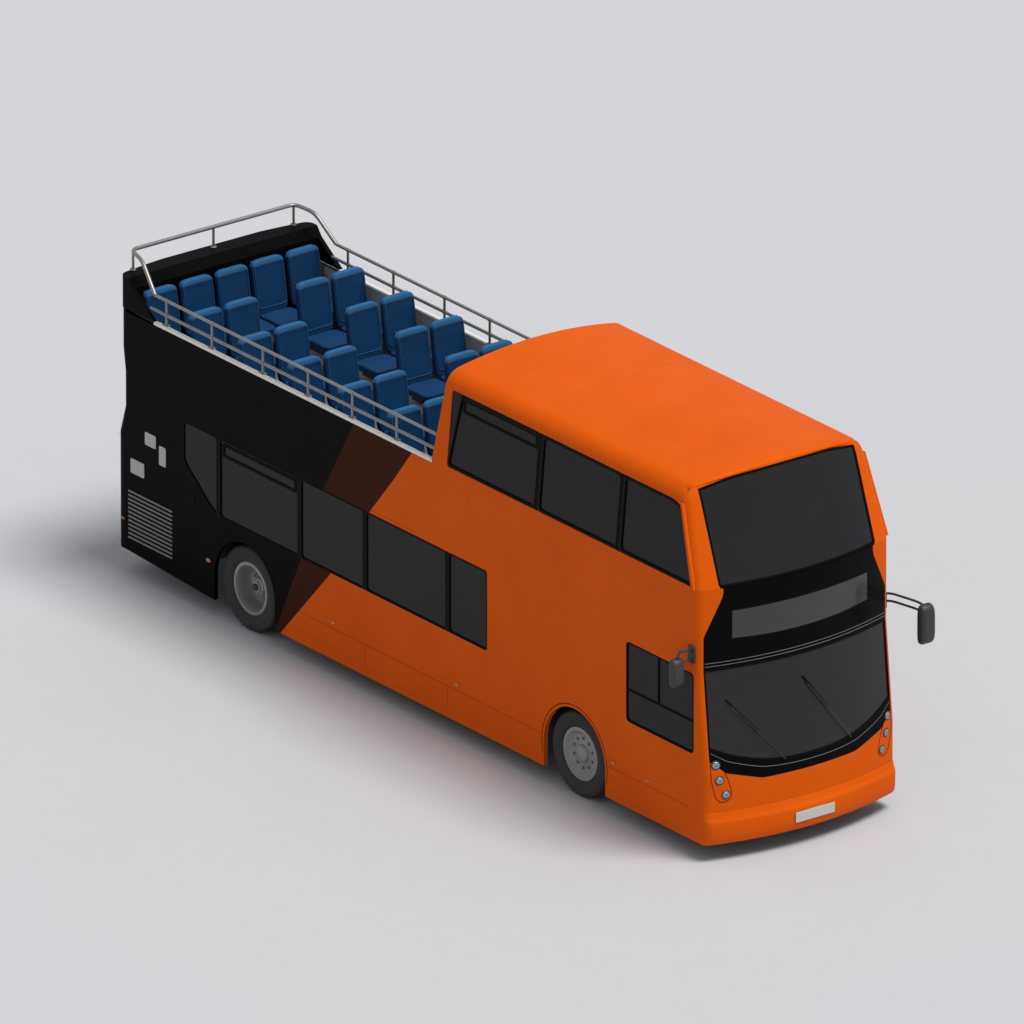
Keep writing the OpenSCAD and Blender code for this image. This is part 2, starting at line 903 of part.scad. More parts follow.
module mirrors() {
    arm_d = 26;
    head_l = 100;
    base_x = front_x - 480;
    head_x = front_x + mirror_ahead;
    color("dimgray") {
        for (z = [2386, 2300])
            rail([
                [base_x, half_w + seam, z], [base_x + 60, half_w + 60, z], [head_x - 60, half_w + mirror_out - 100, z]
            ], arm_d);
        block(head_x - head_l, head_x, half_w + mirror_out - 200, half_w + mirror_out, 1950, 2410);
        rod([front_x - 530, -half_w - seam, 2330], [front_x - 530, -half_w - mirror_out + 100, 2330], arm_d);
        rod([front_x - 530, -half_w - seam, 2250], [front_x - 530, -half_w - mirror_out + 100, 2250], arm_d);
        block(front_x - 530 - head_l / 2, front_x - 530 + head_l / 2, -half_w - mirror_out,
            -half_w - mirror_out + 170, 1960, 2345);
    }
}

// Rows of seats as [x of the back, floor, list of seat places across]
across_four = [-2, -1, 1, 2];
across_five = [-2, -1, 0, 1, 2];
across_left = [1, 2];
first_row_x = rear_x + 510;
last_row_x = rear_x + 582;
rows = concat(
    [[last_row_x, upper_floor_z, across_five]],
    [for (i = [1:10]) let (x = first_row_x + i * row_pitch)
        [x, upper_floor_z, x > stair_top_x - 450 && x < stair_top_x + stair_l - 100 ? across_left : across_four]],
    [[bulkhead_x + 220, platform_z, across_four]],
    [for (i = [0:2]) [rear_axle_x + 1050 + i * row_pitch, floor_z, across_four]],
    [[rear_axle_x + 1050 + 3 * row_pitch, floor_z, across_left]]
);

module seat_cushions() {
    color(BLUE)
        for (row = rows)
            for (place = row[2])
                translate([row[0], place * seat_pitch - seat_w / 2, row[1] + cushion_h])
                    across(0, seat_w)
                        polygon(concat(
                            [[0, -cushion_t + 20], [cushion_l - 60, -cushion_t]],
                            arc([cushion_l - 55, -cushion_t / 2], cushion_t / 2, -80, 80),
                            [[cushion_l - 60, 0], [0, -20]]
                        ));
}

module seat_backs() {
    top = back_h - cushion_h + 70;
    color(BLUE)
        for (row = rows)
            for (place = row[2])
                translate([row[0] - seam, place * seat_pitch - seat_w / 2, row[1] + cushion_h - 70])
                    rotate([0, -back_lean, 0])
                        across(0, seat_w)
                            polygon(concat(
                                [[-back_t, 0], [0, 0]],
                                arc([-back_t / 2, top - back_t / 2], back_t / 2, 0, 180)
                            ));
}

module seat_frames() {
    beam_t = 40;
    color(STEEL)
        for (row = rows)
            for (place = row[2]) {
                y = place * seat_pitch;
                under = row[1] + cushion_h - cushion_t - seam;
                translate([row[0], y, 0]) {
                    block(120, 300, -seat_w / 2 + 40, seat_w / 2 - 40, under - beam_t, under);
                    block(180, 240, -30, 30, row[1] + 0.2, under);
                    block(-back_t - 60, 130, -60, 60, under - beam_t, under - beam_t + 20);
                    translate([-seam, 0, row[1] + cushion_h - 70])
                        rotate([0, -back_lean, 0])
                            block(-back_t - 20 - seam, -back_t - seam, -120, 120, -110, 330);
                }
            }
}

module driver_cab() {
    dash_x = front_x - 560;
    color("dimgray") {
        // dash below the windscreen
        across(-inner_y + 70, 500)
            polygon([
                [dash_x - 20, floor_z + 0.2], [dash_x - 20, 1010], [dash_x + 120, 1060], [dash_x + 190, 1000],
                [dash_x + 190, floor_z + 0.2]
            ]);
        // half-height door and screen behind the driver
        block(dash_x - 1000, dash_x - 20.5, -330, -300, floor_z + 0.2, 1250);
        block(cab_x + 30, cab_x + 60, -inner_y + 3, -300, floor_z + 0.2, 2200);
    }
    color(BLUE) {
        block(dash_x - 640, dash_x - 560, -840, -740, floor_z + 0.2, 780);
        block(dash_x - 820, dash_x - 380, -1010, -570, 780, 880);
        block(dash_x - 900, dash_x - 820.5, -1010, -570, 800, 1560);
    }
}

module steering_wheel() {
    hub = [front_x - 760, -790, 1120];
    color(BLACK)
        translate(hub)
            rotate([0, -35, 0]) {
                rotate_extrude($fn = 96) translate([215, 0]) circle(r = 15, $fn = 24);
                block(-215, 215, -14, 14, -8, 8);
                difference() {
                    translate([0, 0, -400]) cylinder(r = 30, h = 405, $fn = 24);
                    rotate([0, 35, 0]) block(180 - seam, far, -100, 100, -far, far);
                }
            }
}

// Kingpin boss at each end of the front axle
boss_h = 90;
pin_r = 20;
fork_t = 34;

module front_axle() {
    drop_z = 205;
    seat_z = axle_seat_z - 0.3;
    eye_y = kingpin_y - 40;
    color(STEEL)
        difference() {
            union() {
                translate([front_axle_x - 45, 0, 0])
                    rotate([90, 0, 90])
                        linear_extrude(90)
                            polygon([
                                [-eye_y, axle_z + 35], [-760, axle_z + 35], [-640, seat_z], [640, seat_z],
                                [760, axle_z + 35], [eye_y, axle_z + 35], [eye_y, axle_z - 35],
                                [820, axle_z - 35], [690, drop_z], [-690, drop_z], [-820, axle_z - 35],
                                [-eye_y, axle_z - 35]
                            ]);
                for (side = [-1, 1])
                    translate([front_axle_x, side * kingpin_y, axle_z - boss_h / 2])
                        cylinder(r = 48, h = boss_h, $fn = 48);
            }
            for (side = [-1, 1])
                translate([front_axle_x, side * kingpin_y, 0])
                    cylinder(r = pin_r + run_gap, h = 2 * axle_z, $fn = 48);
        }
}

spindle_r = 40;
spindle_y = tyre_y + 60;

// Fork, kingpin and spindle of one steered wheel
module knuckle(side) {
    fork_z = boss_h / 2 + 2;
    color(STEEL)
        on_side(side)
            translate([front_axle_x, kingpin_y, axle_z]) {
                cylinder(r = pin_r, h = 2 * fork_z + 2 * fork_t - 4, center = true, $fn = 48);
                for (up = [0, 1])
                    mirror([0, 0, up]) {
                        block(-45, 45, -45, 72, fork_z, fork_z + fork_t);
                        block(-45, 45, 52, 72, -1, fork_z + 1);
                    }
                translate([0, 70, 0])
                    rotate([-90, 0, 0])
                        cylinder(r = spindle_r, h = spindle_y - kingpin_y - 70, $fn = 64);
            }
}

module left_knuckle() {
    knuckle(1);
}

module right_knuckle() {
    knuckle(-1);
}

module rear_axle() {
    color(STEEL)
        translate([rear_axle_x, 0, axle_z]) {
            rotate([90, 0, 0]) cylinder(r = 70, h = 2 * 590, center = true, $fn = 64);
            rotate([90, 0, 0]) cylinder(r = spindle_r, h = 2 * spindle_y, center = true, $fn = 64);
            sphere(r = 155, $fn = 64);
            for (side = [-1, 1])
                block(-50, 50, side * 470 - 35, side * 470 + 35, 40, platform_z - 120 - axle_z - 0.3);
        }
}

module tyre() {
    half = tyre_w / 2;
    color(BLACK)
        rotate([90, 0, 0])
            rotate_extrude($fn = 128)
                polygon(concat(
                    [[rim_r, 100], [rim_r, -100], [rim_r + 15, -100], [rim_r + 25, -120], [rim_r + 90, -half]],
                    arc([tyre_r - 40, -half + 45], 40, -75, 0, 4),
                    arc([tyre_r - 40, half - 45], 40, 0, 75, 4),
                    [[rim_r + 90, half], [rim_r + 25, 120], [rim_r + 15, 100]]
                ));
}

// Barrel of a rim, with its flanges, turned about Z and centred on its middle
module rim_barrel() {
    rotate_extrude($fn = 128)
        polygon([
            [rim_r - 36, -112], [rim_r + 14, -112], [rim_r + 14, -101], [rim_r - 0.3, -101],
            [rim_r - 0.3, 101], [rim_r + 14, 101], [rim_r + 14, 112], [rim_r - 36, 112]
        ]);
}

disc_t = 14;
bore_r = spindle_r + run_gap;

// A front rim: barrel, outer disc and bored hub
module front_rim(side) {
    hub_y = 50;
    color("lightgray")
        translate([front_axle_x, side * tyre_y, axle_z])
            rotate([side > 0 ? -90 : 90, 0, 0]) {
                rim_barrel();
                difference() {
                    union() {
                        translate([0, 0, hub_y]) cylinder(r = rim_r - 30, h = disc_t, $fn = 128);
                        translate([0, 0, hub_y - 30]) cylinder(r = 105, h = 90, $fn = 96);
                    }
                    translate([0, 0, -200]) cylinder(r = bore_r, h = 200 + spindle_y - tyre_y + 1, $fn = 64);
                }
            }
}

// A pair of rear rims on one hub: the outer disc lies deep in its barrel
module rear_rims(side) {
    pitch = tyre_w + twin_gap;
    color("lightgray")
        translate([rear_axle_x, side * tyre_y, axle_z])
            rotate([side > 0 ? -90 : 90, 0, 0])
                difference() {
                    union() {
                        rim_barrel();
                        translate([0, 0, -pitch]) rim_barrel();
                        translate([0, 0, -105]) cylinder(r = rim_r - 30, h = disc_t, $fn = 128);
                        translate([0, 0, -pitch + 105 - disc_t]) cylinder(r = rim_r - 30, h = disc_t, $fn = 128);
                        translate([0, 0, -pitch + 90]) cylinder(r = 140, h = pitch - 50, $fn = 96);
                    }
                    translate([0, 0, -pitch - 200])
                        cylinder(r = bore_r, h = pitch + 200 + spindle_y - tyre_y + 1, $fn = 64);
                }
}

module front_tyre(side) {
    translate([front_axle_x, side * tyre_y, axle_z]) tyre();
}

module rear_tyres(side) {
    for (y = [tyre_y, twin_y]) translate([rear_axle_x, side * y, axle_z]) tyre();
}

module front_left_tyre() {
    front_tyre(1);
}

module front_right_tyre() {
    front_tyre(-1);
}

module front_left_rim() {
    front_rim(1);
}

module front_right_rim() {
    front_rim(-1);
}

module rear_left_tyres() {
    rear_tyres(1);
}

module rear_right_tyres() {
    rear_tyres(-1);
}

module rear_left_rims() {
    rear_rims(1);
}

module rear_right_rims() {
    rear_rims(-1);
}

// The entrance: each leaf turns on a pin at its middle, carried by arms on a post behind its jamb.
// Distances run from the jamb towards the middle of the doorway.
leaf_gap = 5;
jamb_gap = 12;
leaf_end = doorway_w / 2 - leaf_gap;
post_x = -20;
pin_x = (leaf_end + 10 + post_x) / 2;
post_offset = 50;
leaf_y = half_w - 2 - leaf_t / 2;
post_y = leaf_y - post_offset;
arm_t = 16;
arm_gap = 6;
leaf_z0 = floor_z + arm_t + 2 + arm_gap;
leaf_z1 = head_z - 40;
leaf_pin_r = 8;

// What follows at the front jamb, or at the rear one
module at_jamb(front) {
    if (front) translate([front_corner_x, 0, 0]) mirror([1, 0, 0]) children();
    else translate([doorway_x, 0, 0]) children();
}

module leaf_arm(front) {
    color(STEEL)
        at_jamb(front)
            translate([0, post_y, 0]) {
                translate([post_x, 0, floor_z + 0.3])
                    cylinder(r = post_r, h = upper_floor_z - wall - floor_z - 0.6, $fn = 32);
                for (z = [floor_z + 2, leaf_z1 + arm_gap]) {
                    block(post_x, pin_x, -post_r + 2, post_r - 2, z, z + arm_t);
                    translate([pin_x, 0, z]) cylinder(r = post_r, h = arm_t, $fn = 32);
                }
                translate([pin_x, 0, floor_z + 2])
                    cylinder(r = leaf_pin_r, h = arm_t + arm_gap + 20, $fn = 32);
                translate([pin_x, 0, leaf_z1 - 20])
                    cylinder(r = leaf_pin_r, h = arm_t + arm_gap + 20, $fn = 32);
            }
}

// Outline of the glass in a leaf
module leaf_pane() {
    polygon(round_rect(jamb_gap + 55, leaf_end - 55, leaf_z0 + 130, leaf_z1 - 80, 50));
}

module leaf(front) {
    color(BLACK)
        at_jamb(front) {
            across(leaf_y - leaf_t / 2, leaf_y + leaf_t / 2)
                difference() {
                    polygon([
                        [jamb_gap, leaf_z0], [leaf_end, leaf_z0], [leaf_end, leaf_z1], [jamb_gap, leaf_z1]
                    ]);
                    leaf_pane();
                }
            for (z = [leaf_z0, leaf_z1 - 24])
                difference() {
                    block(pin_x - 20, pin_x + 20, post_y - 16, leaf_y - leaf_t / 2 + 1, z, z + 24);
                    translate([pin_x, post_y, z - 10])
                        cylinder(r = leaf_pin_r + run_gap, h = 60, $fn = 32);
                }
        }
}

module leaf_glass(front) {
    color(GLASS)
        at_jamb(front)
            across(leaf_y - glass_t / 2, leaf_y + glass_t / 2) leaf_pane();
}

module front_leaf_arm() {
    leaf_arm(true);
}

module front_leaf() {
    leaf(true);
}

module front_leaf_glass() {
    leaf_glass(true);
}

module rear_leaf_arm() {
    leaf_arm(false);
}

module rear_leaf() {
    leaf(false);
}

module rear_leaf_glass() {
    leaf_glass(false);
}

chassis_frame();
lower_floor();
wheel_boxes();
upper_floor();
stairs();
skirts();
lower_sides();
upper_sides();
cover_sides();
right_cab_side();
left_front_pillar();
upper_front_frame();
roof();
front_bumper();
front_panel();
front_mask();
headlamps();
number_plates();
lower_windscreen();
upper_windscreen();
side_windows();
rear_corners();
rear_wall();
rear_cowl();
tail_lamps();
engine_lid();
engine();
engine_bulkhead();
coping();
deck_rails();
mirrors();
seat_frames();
seat_cushions();
seat_backs();
driver_cab();
steering_wheel();
front_axle();
rear_axle();
left_knuckle();
right_knuckle();
front_left_tyre();
front_left_rim();
front_right_tyre();
front_right_rim();
rear_left_tyres();
rear_left_rims();
rear_right_tyres();
rear_right_rims();
front_leaf_arm();
front_leaf();
front_leaf_glass();
rear_leaf_arm();
rear_leaf();
rear_leaf_glass();
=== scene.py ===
"""Looks for a part open-topped double-deck bus.

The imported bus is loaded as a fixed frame. This script dresses its nodes in procedural finishes,
puts smooth skins where the frame has faceted curves, and adds wheels, seats, window rubbers,
lamps, grilles and other trim. Lengths are in metres: X forwards, Y to the left, Z up.
"""

from __future__ import annotations

import logging
import math
from dataclasses import dataclass, field
from enum import Enum
from typing import Callable, Iterable, NamedTuple, Sequence

import bpy
import numpy as np
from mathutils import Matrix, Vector

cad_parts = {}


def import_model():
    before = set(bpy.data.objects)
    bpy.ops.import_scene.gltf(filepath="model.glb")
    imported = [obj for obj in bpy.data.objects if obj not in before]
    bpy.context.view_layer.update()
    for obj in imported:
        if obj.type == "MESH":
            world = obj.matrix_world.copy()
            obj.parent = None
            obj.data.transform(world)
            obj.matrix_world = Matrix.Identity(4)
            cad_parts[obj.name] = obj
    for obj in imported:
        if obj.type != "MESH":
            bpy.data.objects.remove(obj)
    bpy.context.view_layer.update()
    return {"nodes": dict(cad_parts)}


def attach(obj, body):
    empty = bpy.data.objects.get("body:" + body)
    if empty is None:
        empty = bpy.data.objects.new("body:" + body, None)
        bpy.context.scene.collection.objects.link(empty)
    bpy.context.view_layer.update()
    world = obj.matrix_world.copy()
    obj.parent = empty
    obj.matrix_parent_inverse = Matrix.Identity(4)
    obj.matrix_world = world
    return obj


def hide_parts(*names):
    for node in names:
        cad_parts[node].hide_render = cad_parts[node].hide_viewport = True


log = logging.getLogger("bus")
Array = np.ndarray
RGB = tuple[float, float, float]
Socket = bpy.types.NodeSocket
LEFT, RIGHT = 1.0, -1.0


class Form(NamedTuple):
    """Points and faces of one surface, with an optional value on each point."""

    points: Array
    faces: list[list[int]]
    uv: Array | None = None


class Body(str, Enum):
    """The moving bodies of the frame."""

    MAIN = "body"
    FRONT_LEFT = "front_left_wheel"
    FRONT_RIGHT = "front_right_wheel"
    REAR_LEFT = "rear_left_wheel"
    REAR_RIGHT = "rear_right_wheel"
    LID = "engine_lid"
    FRONT_LEAF = "front_leaf"
    REAR_LEAF = "rear_leaf"


@dataclass(frozen=True)
class Shape:
    """Main sizes of the body, the same as the frame's."""

    half_w: float = 1.275
    wall: float = 0.05
    rear_x: float = -5.46
    rear_axle_x: float = -3.075
    front_axle_x: float = 2.775
    front_x: float = 5.32
    panel_x: float = 5.27
    mask_x: float = 5.15
    panel_z: float = 1.0
    screen_top_z: float = 2.15
    upper_floor_z: float = 2.30
    coping_z: float = 3.065
    upper_sill_z: float = 3.08
    upper_head_z: float = 3.94
    roof_z: float = 4.24
    cowl_z: float = 3.43
    front_bow: float = 0.22
    rear_bow: float = 0.11
    corner_r: float = 0.10
    roof_r: float = 0.20
    tumblehome: float = 0.08
    cover_lean: float = math.radians(19.0)
    cover_l: float = 5.06
    cover_rake: float = 0.19
    waist_z: float = 1.60
    tuck_z: float = 2.06
    bulge_z: float = 2.60
    tuck_in: float = 0.14
    bulge_in: float = 0.06
    screen_side: float = 1.215
    corner_x: float = 4.75

    def bow(self, y: Array, depth: float, half: Array | float) -> Array:
        """How far a bowed face lies behind its middle.

        The middle is a parabola in y; each end is a quarter turn of the corner radius that meets
        it at its own slope.

        Args:
            y: Places across the bus.
            depth: How far the parabola drops at its full half width.
            half: Half width of the face, one number or one for each place.

        Returns:
            The drop, nought or negative.
        """
        half = np.broadcast_to(np.asarray(half, float), y.shape)
        turn = np.arctan(2 * depth / half)
        join = half - self.corner_r * (1 - np.sin(turn))
        side = np.minimum(np.abs(y), half)
        centre_x = -depth * (join / half) ** 2 - self.corner_r * np.cos(turn)
        centre_y = half - self.corner_r
        round_x = centre_x + np.sqrt(np.maximum(self.corner_r**2 - (side - centre_y) ** 2, 0))
        return np.where(side < join, -depth * (side / half) ** 2, round_x)

    def side_y(self, z: Array) -> Array:
        """Half width above the coping: a straight lean, then the round of the roof's edge."""
        top = self.half_w - self.tumblehome
        lean = self.tumblehome * (z - self.coping_z) / (self.upper_head_z - self.coping_z)
        rise = np.clip(z - self.upper_head_z, 0, self.roof_r)
        rounded = top - self.roof_r + np.sqrt(self.roof_r**2 - rise**2)
        return np.where(z < self.upper_head_z, self.half_w - lean, rounded)

    def front(self, y: Array, z: Array) -> Array:
        """X of the outer front face at (y, z), from the panel up through the leaning roofed deck."""
        lean = math.atan((self.panel_x - self.mask_x) / (self.screen_top_z - self.panel_z))
        drop = self.bow(y, self.front_bow, self.half_w)
        low = self.panel_x + drop / math.cos(lean) - (z - self.panel_z) * math.tan(lean)
        half = np.where(z > self.coping_z, self.side_y(z), self.half_w)
        high = self.mask_x + self.bow(y, self.front_bow, half)
        high = high - np.maximum(z - self.coping_z, 0) * math.tan(self.cover_lean)
        flat = self.panel_x + drop
        return np.where(z < self.panel_z, flat, np.where(z < self.screen_top_z, low, high))

    def rear(self, y: Array, z: Array) -> Array:
        """X of the outer rear face at (y, z): upright, tucked in at the waist, then out again."""
        inset = np.interp(
            z, [0, self.waist_z, self.tuck_z, self.bulge_z, 9],
            [0, 0, self.tuck_in, self.bulge_in, self.bulge_in]
        )
        return self.rear_x + inset - self.bow(y, self.rear_bow, self.half_w)


SHAPE = Shape()


def sheet(points: Array, wrap_u: bool = False, wrap_v: bool = False) -> Form:
    """A surface on a grid of points.

    Args:
        points: Grid of shape (n, m, 3).
        wrap_u: Whether the last row joins the first.
        wrap_v: Whether the last column joins the first.

    Returns:
        The form, with four-sided faces.
    """
    n, m = points.shape[:2]
    rows = np.arange(n if wrap_u else n - 1)
    cols = np.arange(m if wrap_v else m - 1)
    i, j = np.meshgrid(rows, cols, indexing="ij")
    a, b = i * m + j, ((i + 1) % n) * m + j
    c, d = ((i + 1) % n) * m + (j + 1) % m, i * m + (j + 1) % m
    faces = np.stack([a, b, c, d], -1).reshape(-1, 4)
    u, v = np.meshgrid(np.linspace(0, 1, n), np.linspace(0, 1, m), indexing="ij")
    return Form(points.reshape(-1, 3), faces.tolist(), np.stack([u, v], -1).reshape(-1, 2))


def spaced(x: Array, y: Array, z: Array) -> Array:
    """Points from three arrays of coordinates that stretch to one shape."""
    return np.stack(np.broadcast_arrays(x, y, z), -1)


def joined(forms: Iterable[Form]) -> Form:
    """Several forms as one, with the faces' numbers moved on past the earlier points."""
    points, faces, uvs, start = [], [], [], 0
    for form in forms:
        points.append(form.points)
        faces += [[k + start for k in face] for face in form.faces]
        uvs.append(form.uv if form.uv is not None else np.zeros((len(form.points), 2)))
        start += len(form.points)
    return Form(np.concatenate(points), faces, np.concatenate(uvs))


def outward(form: Form) -> Form:
    """A closed form with its faces turned outwards, by the sign of its volume.

    The volume is a sixth of the sum, over each face's fan of triangles, of first . (second x third).
    """
    fans = np.array([(f[0], f[k], f[k + 1]) for f in form.faces for k in range(1, len(f) - 1)])
    a, b, c = (form.points[fans[:, k]] for k in range(3))
    if np.einsum("ij,ij->i", a, np.cross(b, c)).sum() >= 0:
        return form
    return Form(form.points, [face[::-1] for face in form.faces], form.uv)


def shell(points: Array, thick: float) -> Form:
    """A sheet with a wall: the grid, the same grid moved in along its normals, and the rim between.

    Args:
        points: Grid of shape (n, m, 3).
        thick: Thickness, towards the side that the cross product of the two directions leaves.

    Returns:
        A closed form.
    """
    du, dv = np.gradient(points, axis=0), np.gradient(points, axis=1)
    normal = np.cross(du, dv)
    normal /= np.linalg.norm(normal, axis=-1, keepdims=True) + 1e-12
    n, m = points.shape[:2]
    outer, inner = sheet(points), sheet(points - normal * thick)
    edge = np.concatenate(
        [np.arange(m), np.arange(2 * m - 1, n * m, m), np.arange(n * m - 2, (n - 1) * m - 1, -1),
         np.arange((n - 2) * m, 0, -m)]
    )
    after = np.roll(edge, -1)
    rim = np.stack([after, edge, edge + n * m, after + n * m], -1).tolist()
    back = [[k + n * m for k in face[::-1]] for face in inner.faces]
    uv = np.concatenate([outer.uv, inner.uv])
    return outward(Form(np.concatenate([outer.points, inner.points]), outer.faces + back + rim, uv))


def carried(profile: Array, path: Array, up: Sequence[float], closed: bool = False) -> Form:
    """A profile carried along a path.

    At each point of the path the profile's first number runs along tangent x up, and its second
    along the part of up that is square to the tangent.

    Args:
        profile: Closed outline of shape (m, 2).
        path: Points of shape (n, 3).
        up: The direction that the profile's second number follows.
        closed: Whether the path's end joins its start.

    Returns:
        A closed form, with flat ends on an open path.
    """
    if closed:
        tangent = np.roll(path, -1, 0) - np.roll(path, 1, 0)
    else:
        tangent = np.gradient(path, axis=0)
    tangent = tangent / (np.linalg.norm(tangent, axis=1, keepdims=True) + 1e-12)
    guide = np.broadcast_to(np.asarray(up, float), tangent.shape)
    lift = guide - tangent * np.einsum("ij,ij->i", guide, tangent)[:, None]
    lift /= np.linalg.norm(lift, axis=1, keepdims=True) + 1e-12
    across = np.cross(tangent, lift)
    grid = path[:, None] + across[:, None] * profile[None, :, :1] + lift[:, None] * profile[None, :, 1:]
    return outward(sheet(grid, wrap_u=True, wrap_v=True)) if closed else capped(grid)


def capped(grid: Array) -> Form:
    """Rings of points, shape (n, m, 3), as a closed form with a flat face at each end."""
    form = sheet(grid, wrap_v=True)
    n, m = grid.shape[:2]
    caps = [list(range(m)), list(range(n * m - 1, (n - 1) * m - 1, -1))]
    return outward(Form(form.points, form.faces + caps, form.uv))


def ring(radius: float, count: int = 16, squash: float = 1.0) -> Array:
    """A circle's outline of count points, its second number scaled by squash."""
    turn = np.arange(count) * (2 * math.pi / count)
    return np.stack([radius * np.cos(turn), radius * squash * np.sin(turn)], -1)


def tube(path: Array, radius: float, up: Sequence[float] = (0, 0, 1), sides: int = 16) -> Form:
    """A round bar along a path."""
    return carried(ring(radius, sides), np.asarray(path, float), up)


def rounded_path(corners: Sequence[Sequence[float]], radius: float, steps: int = 8) -> Array:
    """A path through corners, each turned by a curve.

    Each corner is left out for a quadratic curve between the points a radius before and after it:
    (1-t)^2 a + 2t(1-t) corner + t^2 b.
    """
    spots = np.asarray(corners, float)
    parts = [spots[:1]]
    t = np.linspace(0, 1, steps)[:, None]
    for before, corner, after in zip(spots, spots[1:], spots[2:]):
        back, on = before - corner, after - corner
        a = corner + back * min(radius / np.linalg.norm(back), 0.5)
        b = corner + on * min(radius / np.linalg.norm(on), 0.5)
        parts.append((1 - t) ** 2 * a + 2 * t * (1 - t) * corner + t**2 * b)
    return np.concatenate([*parts, spots[-1:]])


def lathe(profile: Array, centre: Sequence[float], out: float, steps: int = 96) -> Form:
    """A profile turned about an axis along Y.

    Each (radius, reach) becomes centre + (radius sin turn, out reach, radius cos turn).

    Args:
        profile: Closed or axis-to-axis outline of shape (m, 2).
        centre: A point on the axis.
        out: 1 for the left side of the bus and -1 for the right.
        steps: Places round the axis.

    Returns:
        The turned form, its faces outwards.
    """
    turn = np.arange(steps) * (2 * math.pi / steps)
    r, reach = profile[:, 0], profile[:, 1] * out
    grid = np.stack(
        [np.outer(np.sin(turn), r), np.broadcast_to(reach, (steps, len(r))), np.outer(np.cos(turn), r)], -1
    )
    return outward(sheet(grid + np.asarray(centre, float), wrap_u=True, wrap_v=True))


def round_rect(x0: float, x1: float, y0: float, y1: float, r: float, steps: int = 6) -> Array:
    """A rectangle's outline with quarter-circle corners, anticlockwise."""
    parts = [
        np.array([x + r * math.cos(math.radians(a)), y + r * math.sin(math.radians(a))])
        for x, y, start in ((x1 - r, y1 - r, 0), (x0 + r, y1 - r, 90), (x0 + r, y0 + r, 180),
                            (x1 - r, y0 + r, 270))
        for a in np.linspace(start, start + 90, steps)
    ]
    return np.array(parts)


def plate(outline: Array, place: Callable[[Array], Array], thick: float, bevel: float) -> Form:
    """A thin plate with a bevelled rim.

    Rings of the outline run from the back, up the rim, and in over the bevel, where each point
    moves towards the outline's middle; flat faces close the front and back.

    Args:
        outline: Shape (m, 2), in the plate's own plane.
        place: Turns rows of (first, second, height) into points on the bus.
        thick: Height of the front above the back.
        bevel: Width of the bevel.

    Returns:
        A closed form.
    """
    middle = (outline.max(0) + outline.min(0)) / 2
    half = (outline.max(0) - outline.min(0)) / 2
    inner = middle + (outline - middle) * (1 - bevel / half)
    mid = middle + (outline - middle) * (1 - 0.35 * bevel / half)
    rings = [(outline, 0.0), (outline, thick - bevel), (mid, thick - 0.35 * bevel), (inner, thick)]
    grid = np.stack([place(np.column_stack([o, np.full(len(o), h)])) for o, h in rings])
    form = sheet(grid, wrap_v=True)
    m = len(outline)
    caps = [list(range(m - 1, -1, -1)), list(range(3 * m, 4 * m))]
    return outward(Form(form.points, form.faces + caps, form.uv))


AHEAD, LEFTWARD, UPWARD = (1, 0, 0), (0, 1, 0), (0, 0, 1)


def on_spot(spot: Sequence[float], first: Sequence[float], second: Sequence[float],
            out: Sequence[float]) -> Callable[[Array], Array]:
    """Places (first, second, height) flat at a spot, along three given directions."""
    return lambda p: np.asarray(spot, float) + p @ np.array([first, second, out], float)


def on_flank(side: float, y: float | None = None) -> Callable[[Array], Array]:
    """Places (x, z, height) on the bus's side, its height outwards."""
    face = SHAPE.half_w if y is None else y
    return lambda p: np.column_stack([p[:, 0], side * (face + p[:, 2]), p[:, 1]])


def on_front(proud: float = 0.0) -> Callable[[Array], Array]:
    """Places (y, z, height) on the front face, its height forwards."""
    return lambda p: np.column_stack([SHAPE.front(p[:, 0], p[:, 1]) + p[:, 2] + proud, p[:, 0], p[:, 1]])


def on_rear(proud: float = 0.0) -> Callable[[Array], Array]:
    """Places (y, z, height) on the rear face, its height backwards."""
    return lambda p: np.column_stack([SHAPE.rear(p[:, 0], p[:, 1]) - p[:, 2] - proud, p[:, 0], p[:, 1]])


def made(
    name: str,
    form: Form,
    finish: "Finish",
    body: Body = Body.MAIN,
    replaces: Sequence[str] = (),
    sharp: float = 35.0,
) -> bpy.types.Object:
    """Puts a form into the scene as one piece.

    Args:
        name: The piece's name.
        form: Its points and faces, in the bus's frame.
        finish: The finish that it wears.
        body: The body that it rides on.
        replaces: Nodes that it stands for.
        sharp: Edges that turn by more than this many degrees stay crisp.

    Returns:
        The new object.
    """
    mesh = bpy.data.meshes.new(name)
    mesh.from_pydata(form.points.tolist(), [], form.faces)
    mesh.polygons.foreach_set("use_smooth", np.ones(len(mesh.polygons), bool))
    if form.uv is not None:
        loops = np.zeros(len(mesh.loops), np.int32)
        mesh.loops.foreach_get("vertex_index", loops)
        layer = mesh.uv_layers.new(name="surface")
        layer.data.foreach_set("uv", form.uv[loops].astype(np.float32).ravel())
    mesh.set_sharp_from_angle(angle=math.radians(sharp))
    mesh.materials.append(finish.material())
    obj = bpy.data.objects.new(name, mesh)
    bpy.context.collection.objects.link(obj)
    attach(obj, body.value)
    if replaces:
        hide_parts(*replaces)
    log.info("%s: %d faces on %s", name, len(mesh.polygons), body.value)
    return obj


